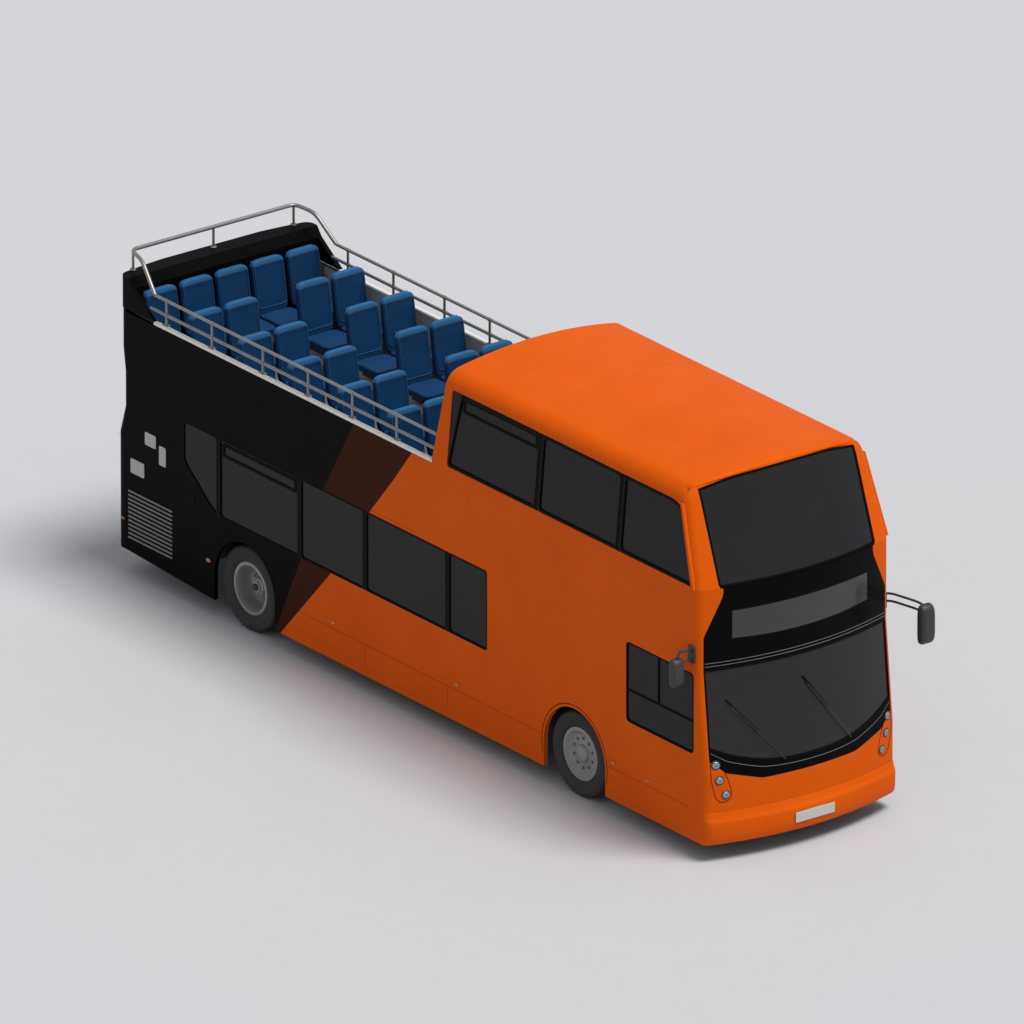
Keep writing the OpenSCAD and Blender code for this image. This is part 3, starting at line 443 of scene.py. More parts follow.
class Nodes:
    """Short ways to add and join the nodes of one shader tree."""

    def __init__(self, tree: bpy.types.NodeTree) -> None:
        """Keeps the tree that the nodes go into."""
        self.tree = tree

    def add(self, kind: str, **values: object) -> bpy.types.Node:
        """Adds a node; each value sets a property of that name."""
        node = self.tree.nodes.new(kind)
        for key, value in values.items():
            setattr(node, key, value)
        return node

    def feed(self, node: bpy.types.Node, **sources: object) -> bpy.types.Node:
        """Sets or links a node's inputs.

        Args:
            node: The node.
            sources: Input names, with underscores for spaces, each with a number, colour or socket.

        Returns:
            The same node.
        """
        for key, source in sources.items():
            name = key.replace("_", " ")
            numbered = name[0] == "i" and name[1:].isdigit()
            socket = node.inputs[int(name[1:]) if numbered else name]
            if isinstance(source, Socket):
                self.tree.links.new(source, socket)
            else:
                socket.default_value = source
        return node

    def math(self, operation: str, a: object, b: object = 0.0, clamp: bool = False) -> Socket:
        """One sum of two numbers."""
        node = self.add("ShaderNodeMath", operation=operation, use_clamp=clamp)
        return self.feed(node, i0=a, i1=b).outputs[0]

    def blend(self, share: object, a: object, b: object) -> Socket:
        """Colour a going over to colour b by a share."""
        node = self.add("ShaderNodeMix", data_type="RGBA")
        return self.feed(node, i0=share, i6=a, i7=b).outputs[2]

    def noise(self, place: Socket, scale: object, detail: float = 3.0) -> Socket:
        """Soft noise, about nought to one, with so many lumps to a metre."""
        node = self.add("ShaderNodeTexNoise")
        return self.feed(node, Vector=place, Scale=scale, Detail=detail).outputs[0]

    def step(self, value: object, edge: object, soft: float) -> Socket:
        """Nought below an edge and one above it, over a width of soft."""
        gap = self.math("SUBTRACT", value, edge)
        return self.math("ADD", self.math("DIVIDE", gap, soft), 0.5, clamp=True)

    def effect(self, group: bpy.types.NodeTree, **sources: object) -> bpy.types.Node:
        """Places a shared effect with its own values."""
        return self.feed(self.add("ShaderNodeGroup", node_tree=group), **sources)


class Effect(Enum):
    """Shader effects that several finishes share, each one node group."""

    MOTTLE = "mottle"
    ROAD_DUST = "road_dust"
    GRAIN = "grain"
    SCUFFS = "scuffs"
    WEAVE = "weave"

    def group(self) -> bpy.types.NodeTree:
        """The effect's node group, built the first time it is asked for."""
        found = bpy.data.node_groups.get(self.value)
        return found if found else getattr(self, "_" + self.value)()

    def _start(self, inputs: dict[str, tuple[str, object]], outputs: Sequence[str]) -> tuple[Nodes, object,
                                                                                             object]:
        """An empty group with its named sockets.

        Args:
            inputs: Each input's name, with its kind and first value.
            outputs: Names of the number outputs.

        Returns:
            The nodes, the group's input node and its output node.
        """
        tree = bpy.data.node_groups.new(self.value, "ShaderNodeTree")
        for name, (kind, value) in inputs.items():
            socket = tree.interface.new_socket(name, in_out="INPUT", socket_type=kind)
            if value is not None:
                socket.default_value = value
        for name in outputs:
            tree.interface.new_socket(name, in_out="OUTPUT", socket_type="NodeSocketFloat")
        nodes = Nodes(tree)
        return nodes, nodes.add("NodeGroupInput"), nodes.add("NodeGroupOutput")

    def _mottle(self) -> bpy.types.NodeTree:
        """Slow changes of tone: two sizes of noise, spread about a half."""
        n, start, end = self._start(
            {"Place": ("NodeSocketVector", None), "Scale": ("NodeSocketFloat", 2.0),
             "Contrast": ("NodeSocketFloat", 1.5)},
            ["Value"],
        )
        wide = n.noise(start.outputs["Place"], start.outputs["Scale"], 4.0)
        fine = n.noise(start.outputs["Place"], n.math("MULTIPLY", start.outputs["Scale"], 9.0), 2.0)
        both = n.math("ADD", n.math("MULTIPLY", wide, 0.7), n.math("MULTIPLY", fine, 0.3))
        spread = n.math("MULTIPLY", n.math("SUBTRACT", both, 0.5), start.outputs["Contrast"])
        n.feed(end, Value=n.math("ADD", spread, 0.5, clamp=True))
        return n.tree

    def _road_dust(self) -> bpy.types.NodeTree:
        """Dust that thickens towards the road: one less height over its top, times noise."""
        n, start, end = self._start(
            {"Place": ("NodeSocketVector", None), "Top": ("NodeSocketFloat", 1.2),
             "Amount": ("NodeSocketFloat", 0.3)},
            ["Mask"],
        )
        split = n.feed(n.add("ShaderNodeSeparateXYZ"), Vector=start.outputs["Place"])
        low = n.math("SUBTRACT", 1.0, n.math("DIVIDE", split.outputs["Z"], start.outputs["Top"]),
                     clamp=True)
        patchy = n.math("ADD", n.math("MULTIPLY", n.noise(start.outputs["Place"], 7.0, 5.0), 0.8), 0.25)
        thick = n.math("MULTIPLY", n.math("POWER", low, 1.6), patchy)
        n.feed(end, Mask=n.math("MULTIPLY", thick, start.outputs["Amount"], clamp=True))
        return n.tree

    def _grain(self) -> bpy.types.NodeTree:
        """Fine lumps of a moulded, cast or sprayed surface."""
        n, start, end = self._start(
            {"Place": ("NodeSocketVector", None), "Scale": ("NodeSocketFloat", 300.0)}, ["Value", "Height"]
        )
        fine = n.noise(start.outputs["Place"], start.outputs["Scale"], 3.0)
        cells = n.feed(n.add("ShaderNodeTexVoronoi"), Vector=start.outputs["Place"],
                       Scale=start.outputs["Scale"])
        n.feed(end, Value=fine, Height=n.math("ADD", fine, n.math("MULTIPLY", cells.outputs[0], 0.4)))
        return n.tree

    def _scuffs(self) -> bpy.types.NodeTree:
        """Thin scratches: noise drawn out along one way, kept where it nearly peaks."""
        n, start, end = self._start(
            {"Place": ("NodeSocketVector", None), "Scale": ("NodeSocketFloat", 12.0),
             "Amount": ("NodeSocketFloat", 0.2)},
            ["Mask"],
        )
        stretch = n.feed(n.add("ShaderNodeVectorMath", operation="MULTIPLY"), i0=start.outputs["Place"],
                         i1=(0.12, 1.0, 1.0))
        lines = n.noise(stretch.outputs[0], n.math("MULTIPLY", start.outputs["Scale"], 6.0), 6.0)
        patch = n.noise(start.outputs["Place"], start.outputs["Scale"], 2.0)
        kept = n.math("MULTIPLY", n.step(lines, 0.63, 0.05), n.step(patch, 0.5, 0.2))
        n.feed(end, Mask=n.math("MULTIPLY", kept, start.outputs["Amount"], clamp=True))
        return n.tree

    def _weave(self) -> bpy.types.NodeTree:
        """Threads that cross: two square-set waves multiplied."""
        n, start, end = self._start(
            {"Place": ("NodeSocketVector", None), "Pitch": ("NodeSocketFloat", 0.003)}, ["Value", "Height"]
        )
        split = n.feed(n.add("ShaderNodeSeparateXYZ"), Vector=start.outputs["Place"])
        rate = n.math("DIVIDE", 2 * math.pi, start.outputs["Pitch"])
        along = n.math("ADD", split.outputs["X"], split.outputs["Z"])
        warp = n.math("SINE", n.math("MULTIPLY", along, rate))
        weft = n.math("SINE", n.math("MULTIPLY", split.outputs["Y"], rate))
        n.feed(end, Value=n.math("ADD", n.math("MULTIPLY", n.math("MULTIPLY", warp, weft), 0.5), 0.5),
               Height=n.math("ADD", n.math("ABSOLUTE", warp), n.math("ABSOLUTE", weft)))
        return n.tree


@dataclass(frozen=True)
class Finish:
    """A painted, moulded or cast finish.

    Its colour wanders between two tones; dust gathers towards the road; scuffs show a third tone.
    """

    name: str
    slot: str
    colour: RGB
    shade: RGB
    roughness: float = 0.4
    metallic: float = 0.0
    coat: float = 0.0
    grain: float = 260.0
    depth: float = 0.0003
    mottle: float = 1.4
    dust: float = 0.0
    scuffs: float = 0.0
    scuff_colour: RGB = (0.35, 0.34, 0.33)
    weave: float = 0.0
    sheen: float = 0.0
    specular: float = 0.5

    def tone(self, n: Nodes, place: Socket, drift: Socket) -> Socket:
        """The colour before dust and scuffs."""
        return n.blend(drift, (*self.colour, 1), (*self.shade, 1))

    def fixed(self, shader: bpy.types.Node) -> None:
        """Sets what is the same all over the surface, straight on the shader."""
        shader.inputs["Metallic"].default_value = self.metallic
        shader.inputs["Coat Weight"].default_value = self.coat
        shader.inputs["Coat Roughness"].default_value = 0.06
        shader.inputs["Sheen Weight"].default_value = self.sheen
        shader.inputs["Specular IOR Level"].default_value = self.specular

    def material(self) -> bpy.types.Material:
        """The finish's material, built the first time it is asked for."""
        found = bpy.data.materials.get("finish_" + self.name)
        if found:
            return found
        material = bpy.data.materials.new("finish_" + self.name)
        material.use_nodes = True
        material.diffuse_color = (*self.colour, 1)
        n = Nodes(material.node_tree)
        shader = material.node_tree.nodes["Principled BSDF"]
        place = n.add("ShaderNodeTexCoord").outputs["Object"]
        drift = n.effect(Effect.MOTTLE.group(), Place=place, Scale=self.mottle,
                         Contrast=1.6).outputs["Value"]
        colour = self.tone(n, place, drift)
        rough = n.math("ADD", n.math("MULTIPLY", drift, 0.12), self.roughness - 0.06)
        if self.scuffs:
            mask = n.effect(Effect.SCUFFS.group(), Place=place, Amount=self.scuffs).outputs["Mask"]
            colour = n.blend(mask, colour, (*self.scuff_colour, 1))
            rough = n.math("ADD", rough, n.math("MULTIPLY", mask, 0.2))
        if self.dust:
            mask = n.effect(Effect.ROAD_DUST.group(), Place=place, Amount=self.dust).outputs["Mask"]
            colour = n.blend(mask, colour, (0.16, 0.13, 0.10, 1))
            rough = n.math("ADD", rough, n.math("MULTIPLY", mask, 0.5), clamp=True)
        height = n.effect(Effect.GRAIN.group(), Place=place, Scale=self.grain).outputs["Height"]
        if self.weave:
            cloth = n.effect(Effect.WEAVE.group(), Place=place, Pitch=self.weave)
            height = n.math("ADD", height, cloth.outputs["Height"])
            colour = n.blend(n.math("MULTIPLY", cloth.outputs["Value"], 0.22), colour, (*self.shade, 1))
        bump = n.feed(n.add("ShaderNodeBump"), Strength=0.6, Distance=self.depth, Height=height)
        n.feed(shader, Base_Color=colour, Roughness=rough, Normal=bump.outputs[0])
        self.fixed(shader)
        return material


@dataclass(frozen=True)
class Livery(Finish):
    """Paint of the flat sides: black tail, a dark brown band and orange ahead, grey trim inside.

    Each band's edge is x as a curve of z, so a point's colour comes from x less that curve.
    """

    tail: RGB = (0.0014, 0.0014, 0.0014)
    band: RGB = (0.045, 0.0105, 0.0022)
    inside: RGB = (0.42, 0.41, 0.39)
    tail_edge: tuple[tuple[float, float], ...] = (
        (0.0, -2.69), (0.19, -2.57), (0.34, -2.463), (1.17, -2.065), (2.10, -1.67), (3.02, -1.13),
        (4.0, -0.5)
    )
    band_edge: tuple[tuple[float, float], ...] = (
        (0.0, -2.62), (0.185, -2.446), (1.145, -1.563), (2.08, -0.87), (2.616, -0.42), (3.044, -0.084),
        (4.0, 0.6)
    )

    def edge(self, n: Nodes, z: Socket, points: Sequence[tuple[float, float]]) -> Socket:
        """X of a band's edge at a height, through straight stretches between the points."""
        node = n.add("ShaderNodeFloatCurve")
        curve = node.mapping.curves[0]
        for k, (height, x) in enumerate(points):
            spot = (height / 4, (x + 4) / 8)
            if k in (0, len(points) - 1):
                curve.points[0 if k == 0 else -1].location = spot
            else:
                curve.points.new(*spot)
        for point in curve.points:
            point.handle_type = "VECTOR"
        node.mapping.update()
        n.feed(node, Value=n.math("DIVIDE", z, 4.0))
        return n.math("SUBTRACT", n.math("MULTIPLY", node.outputs[0], 8.0), 4.0)

    def tone(self, n: Nodes, place: Socket, drift: Socket) -> Socket:
        """Three colours across the side, and the trim on what faces inwards."""
        split = n.feed(n.add("ShaderNodeSeparateXYZ"), Vector=place)
        x, y, z = split.outputs["X"], split.outputs["Y"], split.outputs["Z"]
        orange = super().tone(n, place, drift)
        banded = n.blend(n.step(x, self.edge(n, z, self.band_edge), 0.004), (*self.band, 1), orange)
        painted = n.blend(n.step(x, self.edge(n, z, self.tail_edge), 0.004), (*self.tail, 1), banded)
        outside = n.step(n.math("ABSOLUTE", y), 1.2265, 0.001)
        return n.blend(outside, (*self.inside, 1), painted)


@dataclass(frozen=True)
class Cloth(Finish):
    """Woven seat cover whose rolled top band is paler.

    The band follows the piece's own height, kept in the second number of its surface map.
    """

    band: RGB = (0.02, 0.13, 0.30)
    band_from: float = 0.9

    def tone(self, n: Nodes, place: Socket, drift: Socket) -> Socket:
        """The cover's two blues, and the band."""
        surface = n.add("ShaderNodeUVMap", uv_map="surface")
        split = n.feed(n.add("ShaderNodeSeparateXYZ"), Vector=surface.outputs[0])
        mask = n.step(split.outputs["Y"], self.band_from, 0.02)
        return n.blend(mask, super().tone(n, place, drift), (*self.band, 1))


@dataclass(frozen=True)
class Pane(Finish):
    """Tinted glass that lets a little light through."""

    clear: float = 0.3

    def fixed(self, shader: bpy.types.Node) -> None:
        """Sets how much passes, and the glass's own index."""
        super().fixed(shader)
        shader.inputs["Transmission Weight"].default_value = self.clear
        shader.inputs["IOR"].default_value = 1.45


ORANGE = Finish("orange_paint", "orange_paint", (0.80, 0.118, 0.004), (0.70, 0.094, 0.003), 0.42, coat=0.01,
                specular=0.03,
                grain=90.0, depth=0.00015, dust=0.006, scuffs=0.004)
LIVERY = Livery("side_livery", "livery_paint", (0.80, 0.118, 0.004), (0.70, 0.094, 0.003), 0.42, coat=0.01,
                specular=0.03,
                grain=90.0, depth=0.00015, dust=0.006, scuffs=0.004)
BLACK = Finish("black_paint", "black_paint", (0.0018, 0.0018, 0.0018), (0.004, 0.004, 0.004), 0.42,
               specular=0.03,
               grain=90.0, depth=0.00015, dust=0.015, scuffs=0.006)
MASK = Finish("mask_black", "black_gloss", (0.0018, 0.0018, 0.0018), (0.003, 0.003, 0.003), 0.28,
              specular=0.04,
              grain=80.0, depth=0.0001, dust=0.01)
DOOR = Finish("door_black", "black_gloss", (0.008, 0.008, 0.008), (0.012, 0.012, 0.012), 0.4, specular=0.15,
              dust=0.06)
GLASS = Pane("tinted_glass", "tinted_glass", (0.0085, 0.0085, 0.0088), (0.0045, 0.0045, 0.0048), 0.16,
             grain=3.0,
             depth=0.0004, mottle=0.8, specular=0.09)
SCREEN = Pane("screen_glass", "tinted_glass", (0.032, 0.032, 0.031), (0.021, 0.021, 0.021), 0.16, grain=3.0,
              depth=0.0004, mottle=0.8, specular=0.25)
RUBBER = Finish("window_rubber", "dark_plastic", (0.003, 0.003, 0.003), (0.005, 0.005, 0.005), 0.6,
                specular=0.05, grain=500.0)
PLASTIC = Finish("dark_plastic", "dark_plastic", (0.026, 0.026, 0.027), (0.040, 0.040, 0.041), 0.5,
                 grain=650.0,
                 depth=0.0006, scuffs=0.1)
SEAT = Cloth("seat_cover", "seat_cover", (0.0012, 0.052, 0.155), (0.0008, 0.034, 0.105), 0.55, grain=700.0,
             depth=0.0006, mottle=3.0, weave=0.004, sheen=0.05, specular=0.15, scuffs=0.02,
             scuff_colour=(0.05, 0.12, 0.24))
PIPING = Finish("seat_piping", "seat_cover", (0.03, 0.09, 0.17), (0.02, 0.07, 0.14), 0.5, grain=900.0,
                sheen=0.1)
STEEL = Finish("rail_steel", "rail_steel", (0.33, 0.31, 0.29), (0.25, 0.235, 0.215), 0.34, metallic=0.55,
               grain=420.0, depth=0.0002, mottle=6.0, scuffs=0.25, scuff_colour=(0.5, 0.5, 0.5))
TRIM = Finish("pale_trim", "pale_trim", (0.88, 0.85, 0.80), (0.80, 0.76, 0.70), 0.42, grain=300.0,
              scuffs=0.12,
              scuff_colour=(0.4, 0.38, 0.35))
FLOOR = Finish("floor_sheet", "floor_sheet", (0.10, 0.10, 0.105), (0.17, 0.17, 0.175), 0.6, grain=240.0,
               mottle=160.0, scuffs=0.15)
LINING = Finish("inner_lining", "pale_trim", (0.42, 0.41, 0.39), (0.36, 0.35, 0.33), 0.55, grain=500.0)
CHASSIS = Finish("chassis_steel", "chassis_steel", (0.016, 0.016, 0.017), (0.035, 0.031, 0.028), 0.6,
                 grain=160.0,
                 depth=0.0012, dust=0.6, scuffs=0.2, scuff_colour=(0.12, 0.06, 0.03))
IRON = Finish("engine_iron", "engine_iron", (0.09, 0.09, 0.09), (0.14, 0.135, 0.13), 0.55, metallic=0.5,
              grain=180.0, depth=0.0015, dust=0.4)
TYRE = Finish("tyre_rubber", "tyre_rubber", (0.016, 0.016, 0.016), (0.024, 0.023, 0.022), 0.75, grain=420.0,
              depth=0.0008, mottle=8.0, dust=0.35)
RIM = Finish("rim_paint", "rim_paint", (0.34, 0.34, 0.34), (0.26, 0.26, 0.26), 0.42, metallic=0.3,
             grain=240.0,
             mottle=7.0, dust=0.2, scuffs=0.2)
NUTS = Finish("wheel_nuts", "rim_paint", (0.30, 0.30, 0.30), (0.20, 0.19, 0.18), 0.35, metallic=0.8,
              grain=500.0)
LAMP = Finish("lamp_clear", "lamp_clear", (0.36, 0.38, 0.41), (0.26, 0.28, 0.31), 0.12, metallic=0.4,
              coat=0.8,
              grain=900.0, depth=0.0008, mottle=30.0)
AMBER = Finish("lamp_amber", "lamp_red", (0.62, 0.16, 0.006), (0.5, 0.11, 0.004), 0.2, coat=0.6,
               grain=900.0)
RED = Finish("lamp_red", "lamp_red", (0.42, 0.008, 0.006), (0.30, 0.005, 0.004), 0.18, coat=0.7,
             grain=800.0,
             depth=0.0008, mottle=30.0)
BLANK = Finish("plate_blank", "plate_blank", (0.60, 0.59, 0.55), (0.52, 0.51, 0.48), 0.4, coat=0.3,
               grain=300.0)
SLATS = Finish("grey_slats", "pale_trim", (0.24, 0.235, 0.225), (0.16, 0.155, 0.15), 0.45, metallic=0.3,
               grain=400.0, dust=0.2)
PLAQUE = Finish("grey_flaps", "pale_trim", (0.50, 0.49, 0.48), (0.42, 0.41, 0.40), 0.4, grain=300.0,
                scuffs=0.1)
MIRROR = Finish("mirror_glass", "tinted_glass", (0.55, 0.57, 0.58), (0.5, 0.52, 0.53), 0.05, metallic=0.95,
                grain=3.0, depth=0.0001)
DISPLAY = Finish("display_window", "tinted_glass", (0.018, 0.018, 0.018), (0.030, 0.030, 0.030), 0.3,
                 coat=0.3,
                 grain=60.0, depth=0.0001)


@dataclass
class Studio:
    """The pale floor, the soft lights and the camera."""

    azimuth: float = math.radians(52.8)
    elevation: float = math.radians(22.1)
    target: tuple[float, float, float] = (-0.004, 0.0, 2.068)
    frame_width: float = 10.952
    lens: float = 1500.0

    def camera(self) -> None:
        """A very long lens, so that far and near sides keep nearly the same scale."""
        data = bpy.data.cameras.new("camera")
        data.lens, data.sensor_width = self.lens, 36.0
        distance = self.frame_width / 2 / (18.0 / self.lens)
        data.clip_start, data.clip_end = 10.0, distance * 4
        cam = bpy.data.objects.new("camera", data)
        a, e = self.azimuth, self.elevation
        back = Vector((math.sin(a) * math.cos(e), -math.cos(a) * math.cos(e), math.sin(e)))
        cam.location = Vector(self.target) + back * distance
        cam.rotation_mode = "QUATERNION"
        cam.rotation_quaternion = (-back).to_track_quat("-Z", "Y")
        bpy.context.collection.objects.link(cam)
        bpy.context.scene.camera = cam

    def floor(self) -> None:
        """A wide flat sheet with slow changes of tone."""
        span = np.linspace(-260.0, 260.0, 9)
        x, y = np.meshgrid(span, span, indexing="ij")
        form = sheet(np.stack([x, y, np.full_like(x, -0.002)], -1))
        mesh = bpy.data.meshes.new("studio_floor")
        mesh.from_pydata(form.points.tolist(), [], form.faces)
        finish = Finish("studio_floor", "", (0.60, 0.60, 0.60), (0.56, 0.56, 0.57), 0.7, grain=40.0,
                        mottle=0.3)
        mesh.materials.append(finish.material())
        obj = bpy.data.objects.new("studio_floor", mesh)
        bpy.context.collection.objects.link(obj)

    def lights(self) -> None:
        """A soft high sun from ahead and the left, and a pale sky all round."""
        sun = bpy.data.lights.new("soft_sun", "SUN")
        sun.energy, sun.angle = 2.6, math.radians(25.0)
        obj = bpy.data.objects.new("soft_sun", sun)
        obj.rotation_mode = "QUATERNION"
        obj.rotation_quaternion = Vector((-0.34, -0.18, -0.92)).to_track_quat("-Z", "Y")
        bpy.context.collection.objects.link(obj)
        world = bpy.data.worlds.new("pale_sky")
        world.use_nodes = True
        sky = world.node_tree.nodes["Background"]
        sky.inputs["Color"].default_value = (0.90, 0.93, 1.0, 1)
        sky.inputs["Strength"].default_value = 0.42
        bpy.context.scene.world = world
        bpy.context.scene.view_settings.view_transform = "Standard"

    def build(self) -> None:
        """Makes the camera, floor and lights."""
        self.camera()
        self.floor()
        self.lights()


@dataclass
class FrameDressing:
    """Finishes for the frame's own nodes that stay in view."""

    finishes: dict[str, Finish] = field(default_factory=lambda: {
        "chassis_frame": CHASSIS, "lower_floor": FLOOR, "wheel_boxes": CHASSIS, "upper_floor": FLOOR,
        "stairs": FLOOR, "skirts": LIVERY, "lower_sides": LIVERY, "upper_sides": LIVERY,
        "cover_sides": ORANGE, "right_cab_side": ORANGE, "left_front_pillar": ORANGE,
        "side_windows": GLASS, "rear_cowl": BLACK, "rear_corners": BLACK, "rear_wall": BLACK,
        "engine_lid": BLACK,
        "engine": IRON, "engine_bulkhead": LINING, "seat_frames": PLASTIC, "driver_cab": PLASTIC,
        "steering_wheel": PLASTIC, "front_axle": CHASSIS, "rear_axle": CHASSIS, "left_knuckle": CHASSIS,
        "right_knuckle": CHASSIS, "front_leaf_arm": STEEL, "rear_leaf_arm": STEEL, "front_leaf": DOOR,
        "rear_leaf": DOOR, "front_leaf_glass": GLASS, "rear_leaf_glass": GLASS, "tail_lamps": RED,
    })

    def dress(self, nodes: dict[str, bpy.types.Object]) -> None:
        """Puts each finish on its node's material slots."""
        for name, finish in self.finishes.items():
            node = nodes.get(name)
            if node is None:
                log.warning("no node %s", name)
                continue
            material = finish.material()
            if not node.material_slots:
                node.data.materials.append(material)
            for part in node.material_slots:
                part.material = material


@dataclass
class FrontEnd:
    """The bowed front: bumper, panel, two windscreens, black mask, corners, lamps and wipers."""

    border_z: tuple[tuple[float, float], ...] = ((0.0, 0.865), (0.62, 0.868), (1.04, 0.99), (1.2145, 1.14))
    lamps: tuple[tuple[float, float], ...] = ((1.15, 1.096), (1.115, 0.919), (1.045, 0.747))
    lamp_r: float = 0.044
    upper_screen_half: float = 1.03
    edge_r: float = 0.05
    skin: float = 0.03
    lamp_turn: int = 40

    def spread(self, count: int = 81) -> Array:
        """Numbers from -1 to 1, closer together at the ends: the sine of an even turn."""
        return np.sin(np.linspace(-math.pi / 2, math.pi / 2, count))

    def screen_bottom(self, y: Array) -> Array:
        """Lower edge of the windscreen: 1.02 + 0.265 (|y| / side)^2.5."""
        return 1.02 + 0.265 * np.minimum(np.abs(y) / SHAPE.screen_side, 1) ** 2.5

    def screen_top(self, y: Array) -> Array:
        """Upper edge of the upper windscreen: 4.18 - 0.105 (y / 1.01)^2."""
        return SHAPE.roof_z - 0.06 - 0.105 * (y / 1.01) ** 2

    def between(self, y: Array, low: Array, high: Array, rows: int, proud: float = 0.0) -> Array:
        """A grid on the front face between two curves: z = low + v (high - low)."""
        v = np.linspace(0, 1, rows)
        z = low[:, None] + v * (high - low)[:, None]
        yy = np.broadcast_to(y[:, None], z.shape)
        return spaced(SHAPE.front(yy, z) + proud, yy, z)

    def bumper(self) -> None:
        """The bumper: the bow swept from side to side, its face stepping back above a crease."""
        z = np.array([0.19, 0.20, 0.23, 0.28, 0.36, 0.43, 0.455, 0.47, 0.485, 0.52, 0.5595])
        back = np.array([-0.045, -0.03, -0.012, -0.002, 0.0, 0.0, -0.004, -0.014, -0.024, -0.034, -0.048])
        y = SHAPE.half_w * self.spread(121)
        x = SHAPE.front_x + SHAPE.bow(y, SHAPE.front_bow, SHAPE.half_w)
        nose = spaced(x[:, None] + back, y[:, None], z)
        self.wrap("bumper", nose, z, ORANGE, ("front_bumper",))

    def wrap(self, name: str, nose: Array, z: Array, finish: Finish, replaces: Sequence[str]) -> None:
        """Carries a nose's two ends straight back to the side panels and gives it a wall."""
        back = SHAPE.corner_x + 0.0005
        ends = []
        for column, flip in ((nose[0], False), (nose[-1], True)):
            share = np.linspace(0, 1, 4)[:-1, None]
            run = spaced(back + share * (column[:, 0] - back), column[:, 1], z)
            ends.append(run[::-1] if flip else run)
        made(name, shell(np.concatenate([ends[0], nose, ends[1]]), self.skin), finish, replaces=replaces)

    def panel(self) -> None:
        """The orange panel, with the black border under the windscreen over it."""
        y = (SHAPE.screen_side - 0.0015) * self.spread()
        edge = np.interp(np.abs(y), *zip(*self.border_z))
        made("front_panel_skin", shell(self.between(y, np.full_like(y, 0.5605), edge, 12), self.skin),
             ORANGE,
             replaces=("front_panel",))
        low, high = edge + 0.0005, self.screen_bottom(y) - 0.002
        made("screen_border", shell(self.between(y, low, high, 8), self.skin), MASK)
        middle = low + 0.62 * (high - low)
        made("border_line", shell(self.between(y * 0.985, middle, middle + 0.006, 2, 0.002), 0.004), SLATS)

    def lower_screen(self) -> None:
        """The curved windscreen, its rubber and two thin bright lines over it."""
        y = (SHAPE.screen_side - 0.012) * self.spread()
        low = self.screen_bottom(y) + 0.008
        glass = self.between(y, low, np.full_like(y, SHAPE.screen_top_z - 0.012), 24, -0.012)
        made("windscreen_glass", shell(glass, 0.008), SCREEN, replaces=("lower_windscreen",))
        side = SHAPE.screen_side - 0.012
        sweep = np.linspace(-side, side, 60)
        climb = np.linspace(self.screen_bottom(np.array([side]))[0] + 0.02, SHAPE.screen_top_z - 0.02, 14)
        flat = np.concatenate([
            np.column_stack([sweep, self.screen_bottom(sweep) + 0.006]),
            np.column_stack([np.full(14, side), climb]),
            np.column_stack([sweep[::-1], np.full(60, SHAPE.screen_top_z - 0.010)]),
            np.column_stack([np.full(14, -side), climb[::-1]]),
        ])
        self.rubber("windscreen_rubber", flat, 0.011)
        for k, z in enumerate((2.185, 2.222)):
            across = 1.2 * self.spread()
            line = self.between(across, np.full_like(across, z), np.full_like(across, z + 0.006), 2, 0.002)
            made(f"mask_line_{k}", shell(line, 0.004), SLATS)

    def rubber(self, name: str, flat: Array, half: float) -> None:
        """A flat rubber strip along a closed path on the front, given as rows of (y, z)."""
        path = np.column_stack([SHAPE.front(flat[:, 0], flat[:, 1]) - 0.004, flat])
        profile = np.array([(-half, -0.006), (half, -0.006), (half, 0.003), (half * 0.6, 0.006),
                            (-half * 0.6, 0.006), (-half, 0.003)])
        made(name, carried(profile, path, (1, 0, 0), closed=True), RUBBER)

    def mask(self) -> None:
        """The black mask, narrowing upwards between orange corners, with a blank display window."""
        z = np.concatenate([[2.1505, 2.20], np.linspace(2.25, 3.0645, 16)])
        half = np.interp(z, [2.11, 2.53, 2.98, 3.07], [1.2145, 1.2145, 1.0, 1.0])
        s = self.spread(61)
        y = s[:, None] * half
        zz = np.broadcast_to(z, y.shape)
        made("black_mask", shell(np.stack([SHAPE.front(y, zz), y, zz], -1), self.skin), MASK,
             replaces=("front_mask",))
        z = np.concatenate([[2.1105, 2.1495, 2.20], np.linspace(2.25, 3.0645, 16)])
        half = np.interp(z, [2.11, 2.53, 2.98, 3.07], [1.2145, 1.2145, 1.0, 1.0]) + 0.0005
        for side, word in ((LEFT, "left"), (RIGHT, "right")):
            bend = np.sin(np.linspace(0, math.pi / 2, 26))[:, None]
            y = half + bend * (SHAPE.half_w - half)
            zz = np.broadcast_to(z, y.shape)
            x = SHAPE.front(y, zz)
            share = np.linspace(0, 1, 4)[1:, None]
            x = np.concatenate([x, x[-1] + share * (SHAPE.corner_x + 0.0005 - x[-1])])
            y = np.concatenate([y, np.full((3, len(z)), SHAPE.half_w)])
            grid = np.stack([x, side * y, np.broadcast_to(z, y.shape)], -1)
            made(f"mask_corner_{word}", shell(grid if side > 0 else grid[::-1], self.skin), ORANGE)
        y = 0.9 * self.spread(41)
        window = self.between(y, np.full_like(y, 2.45) + 0.03 * (y / 0.9) ** 2, np.full_like(y, 2.79), 8,
                              0.002)
        made("display_window", shell(window, 0.006), DISPLAY)
        outline = round_rect(-0.905, 0.905, 2.445, 2.795, 0.02, 4)
        around = np.concatenate([np.linspace(a, b, 12, endpoint=False) for a, b in zip(outline,
                                                                                       np.roll(outline, -1,
                                                                                               0))])
        self.rubber("display_rubber", around, 0.008)

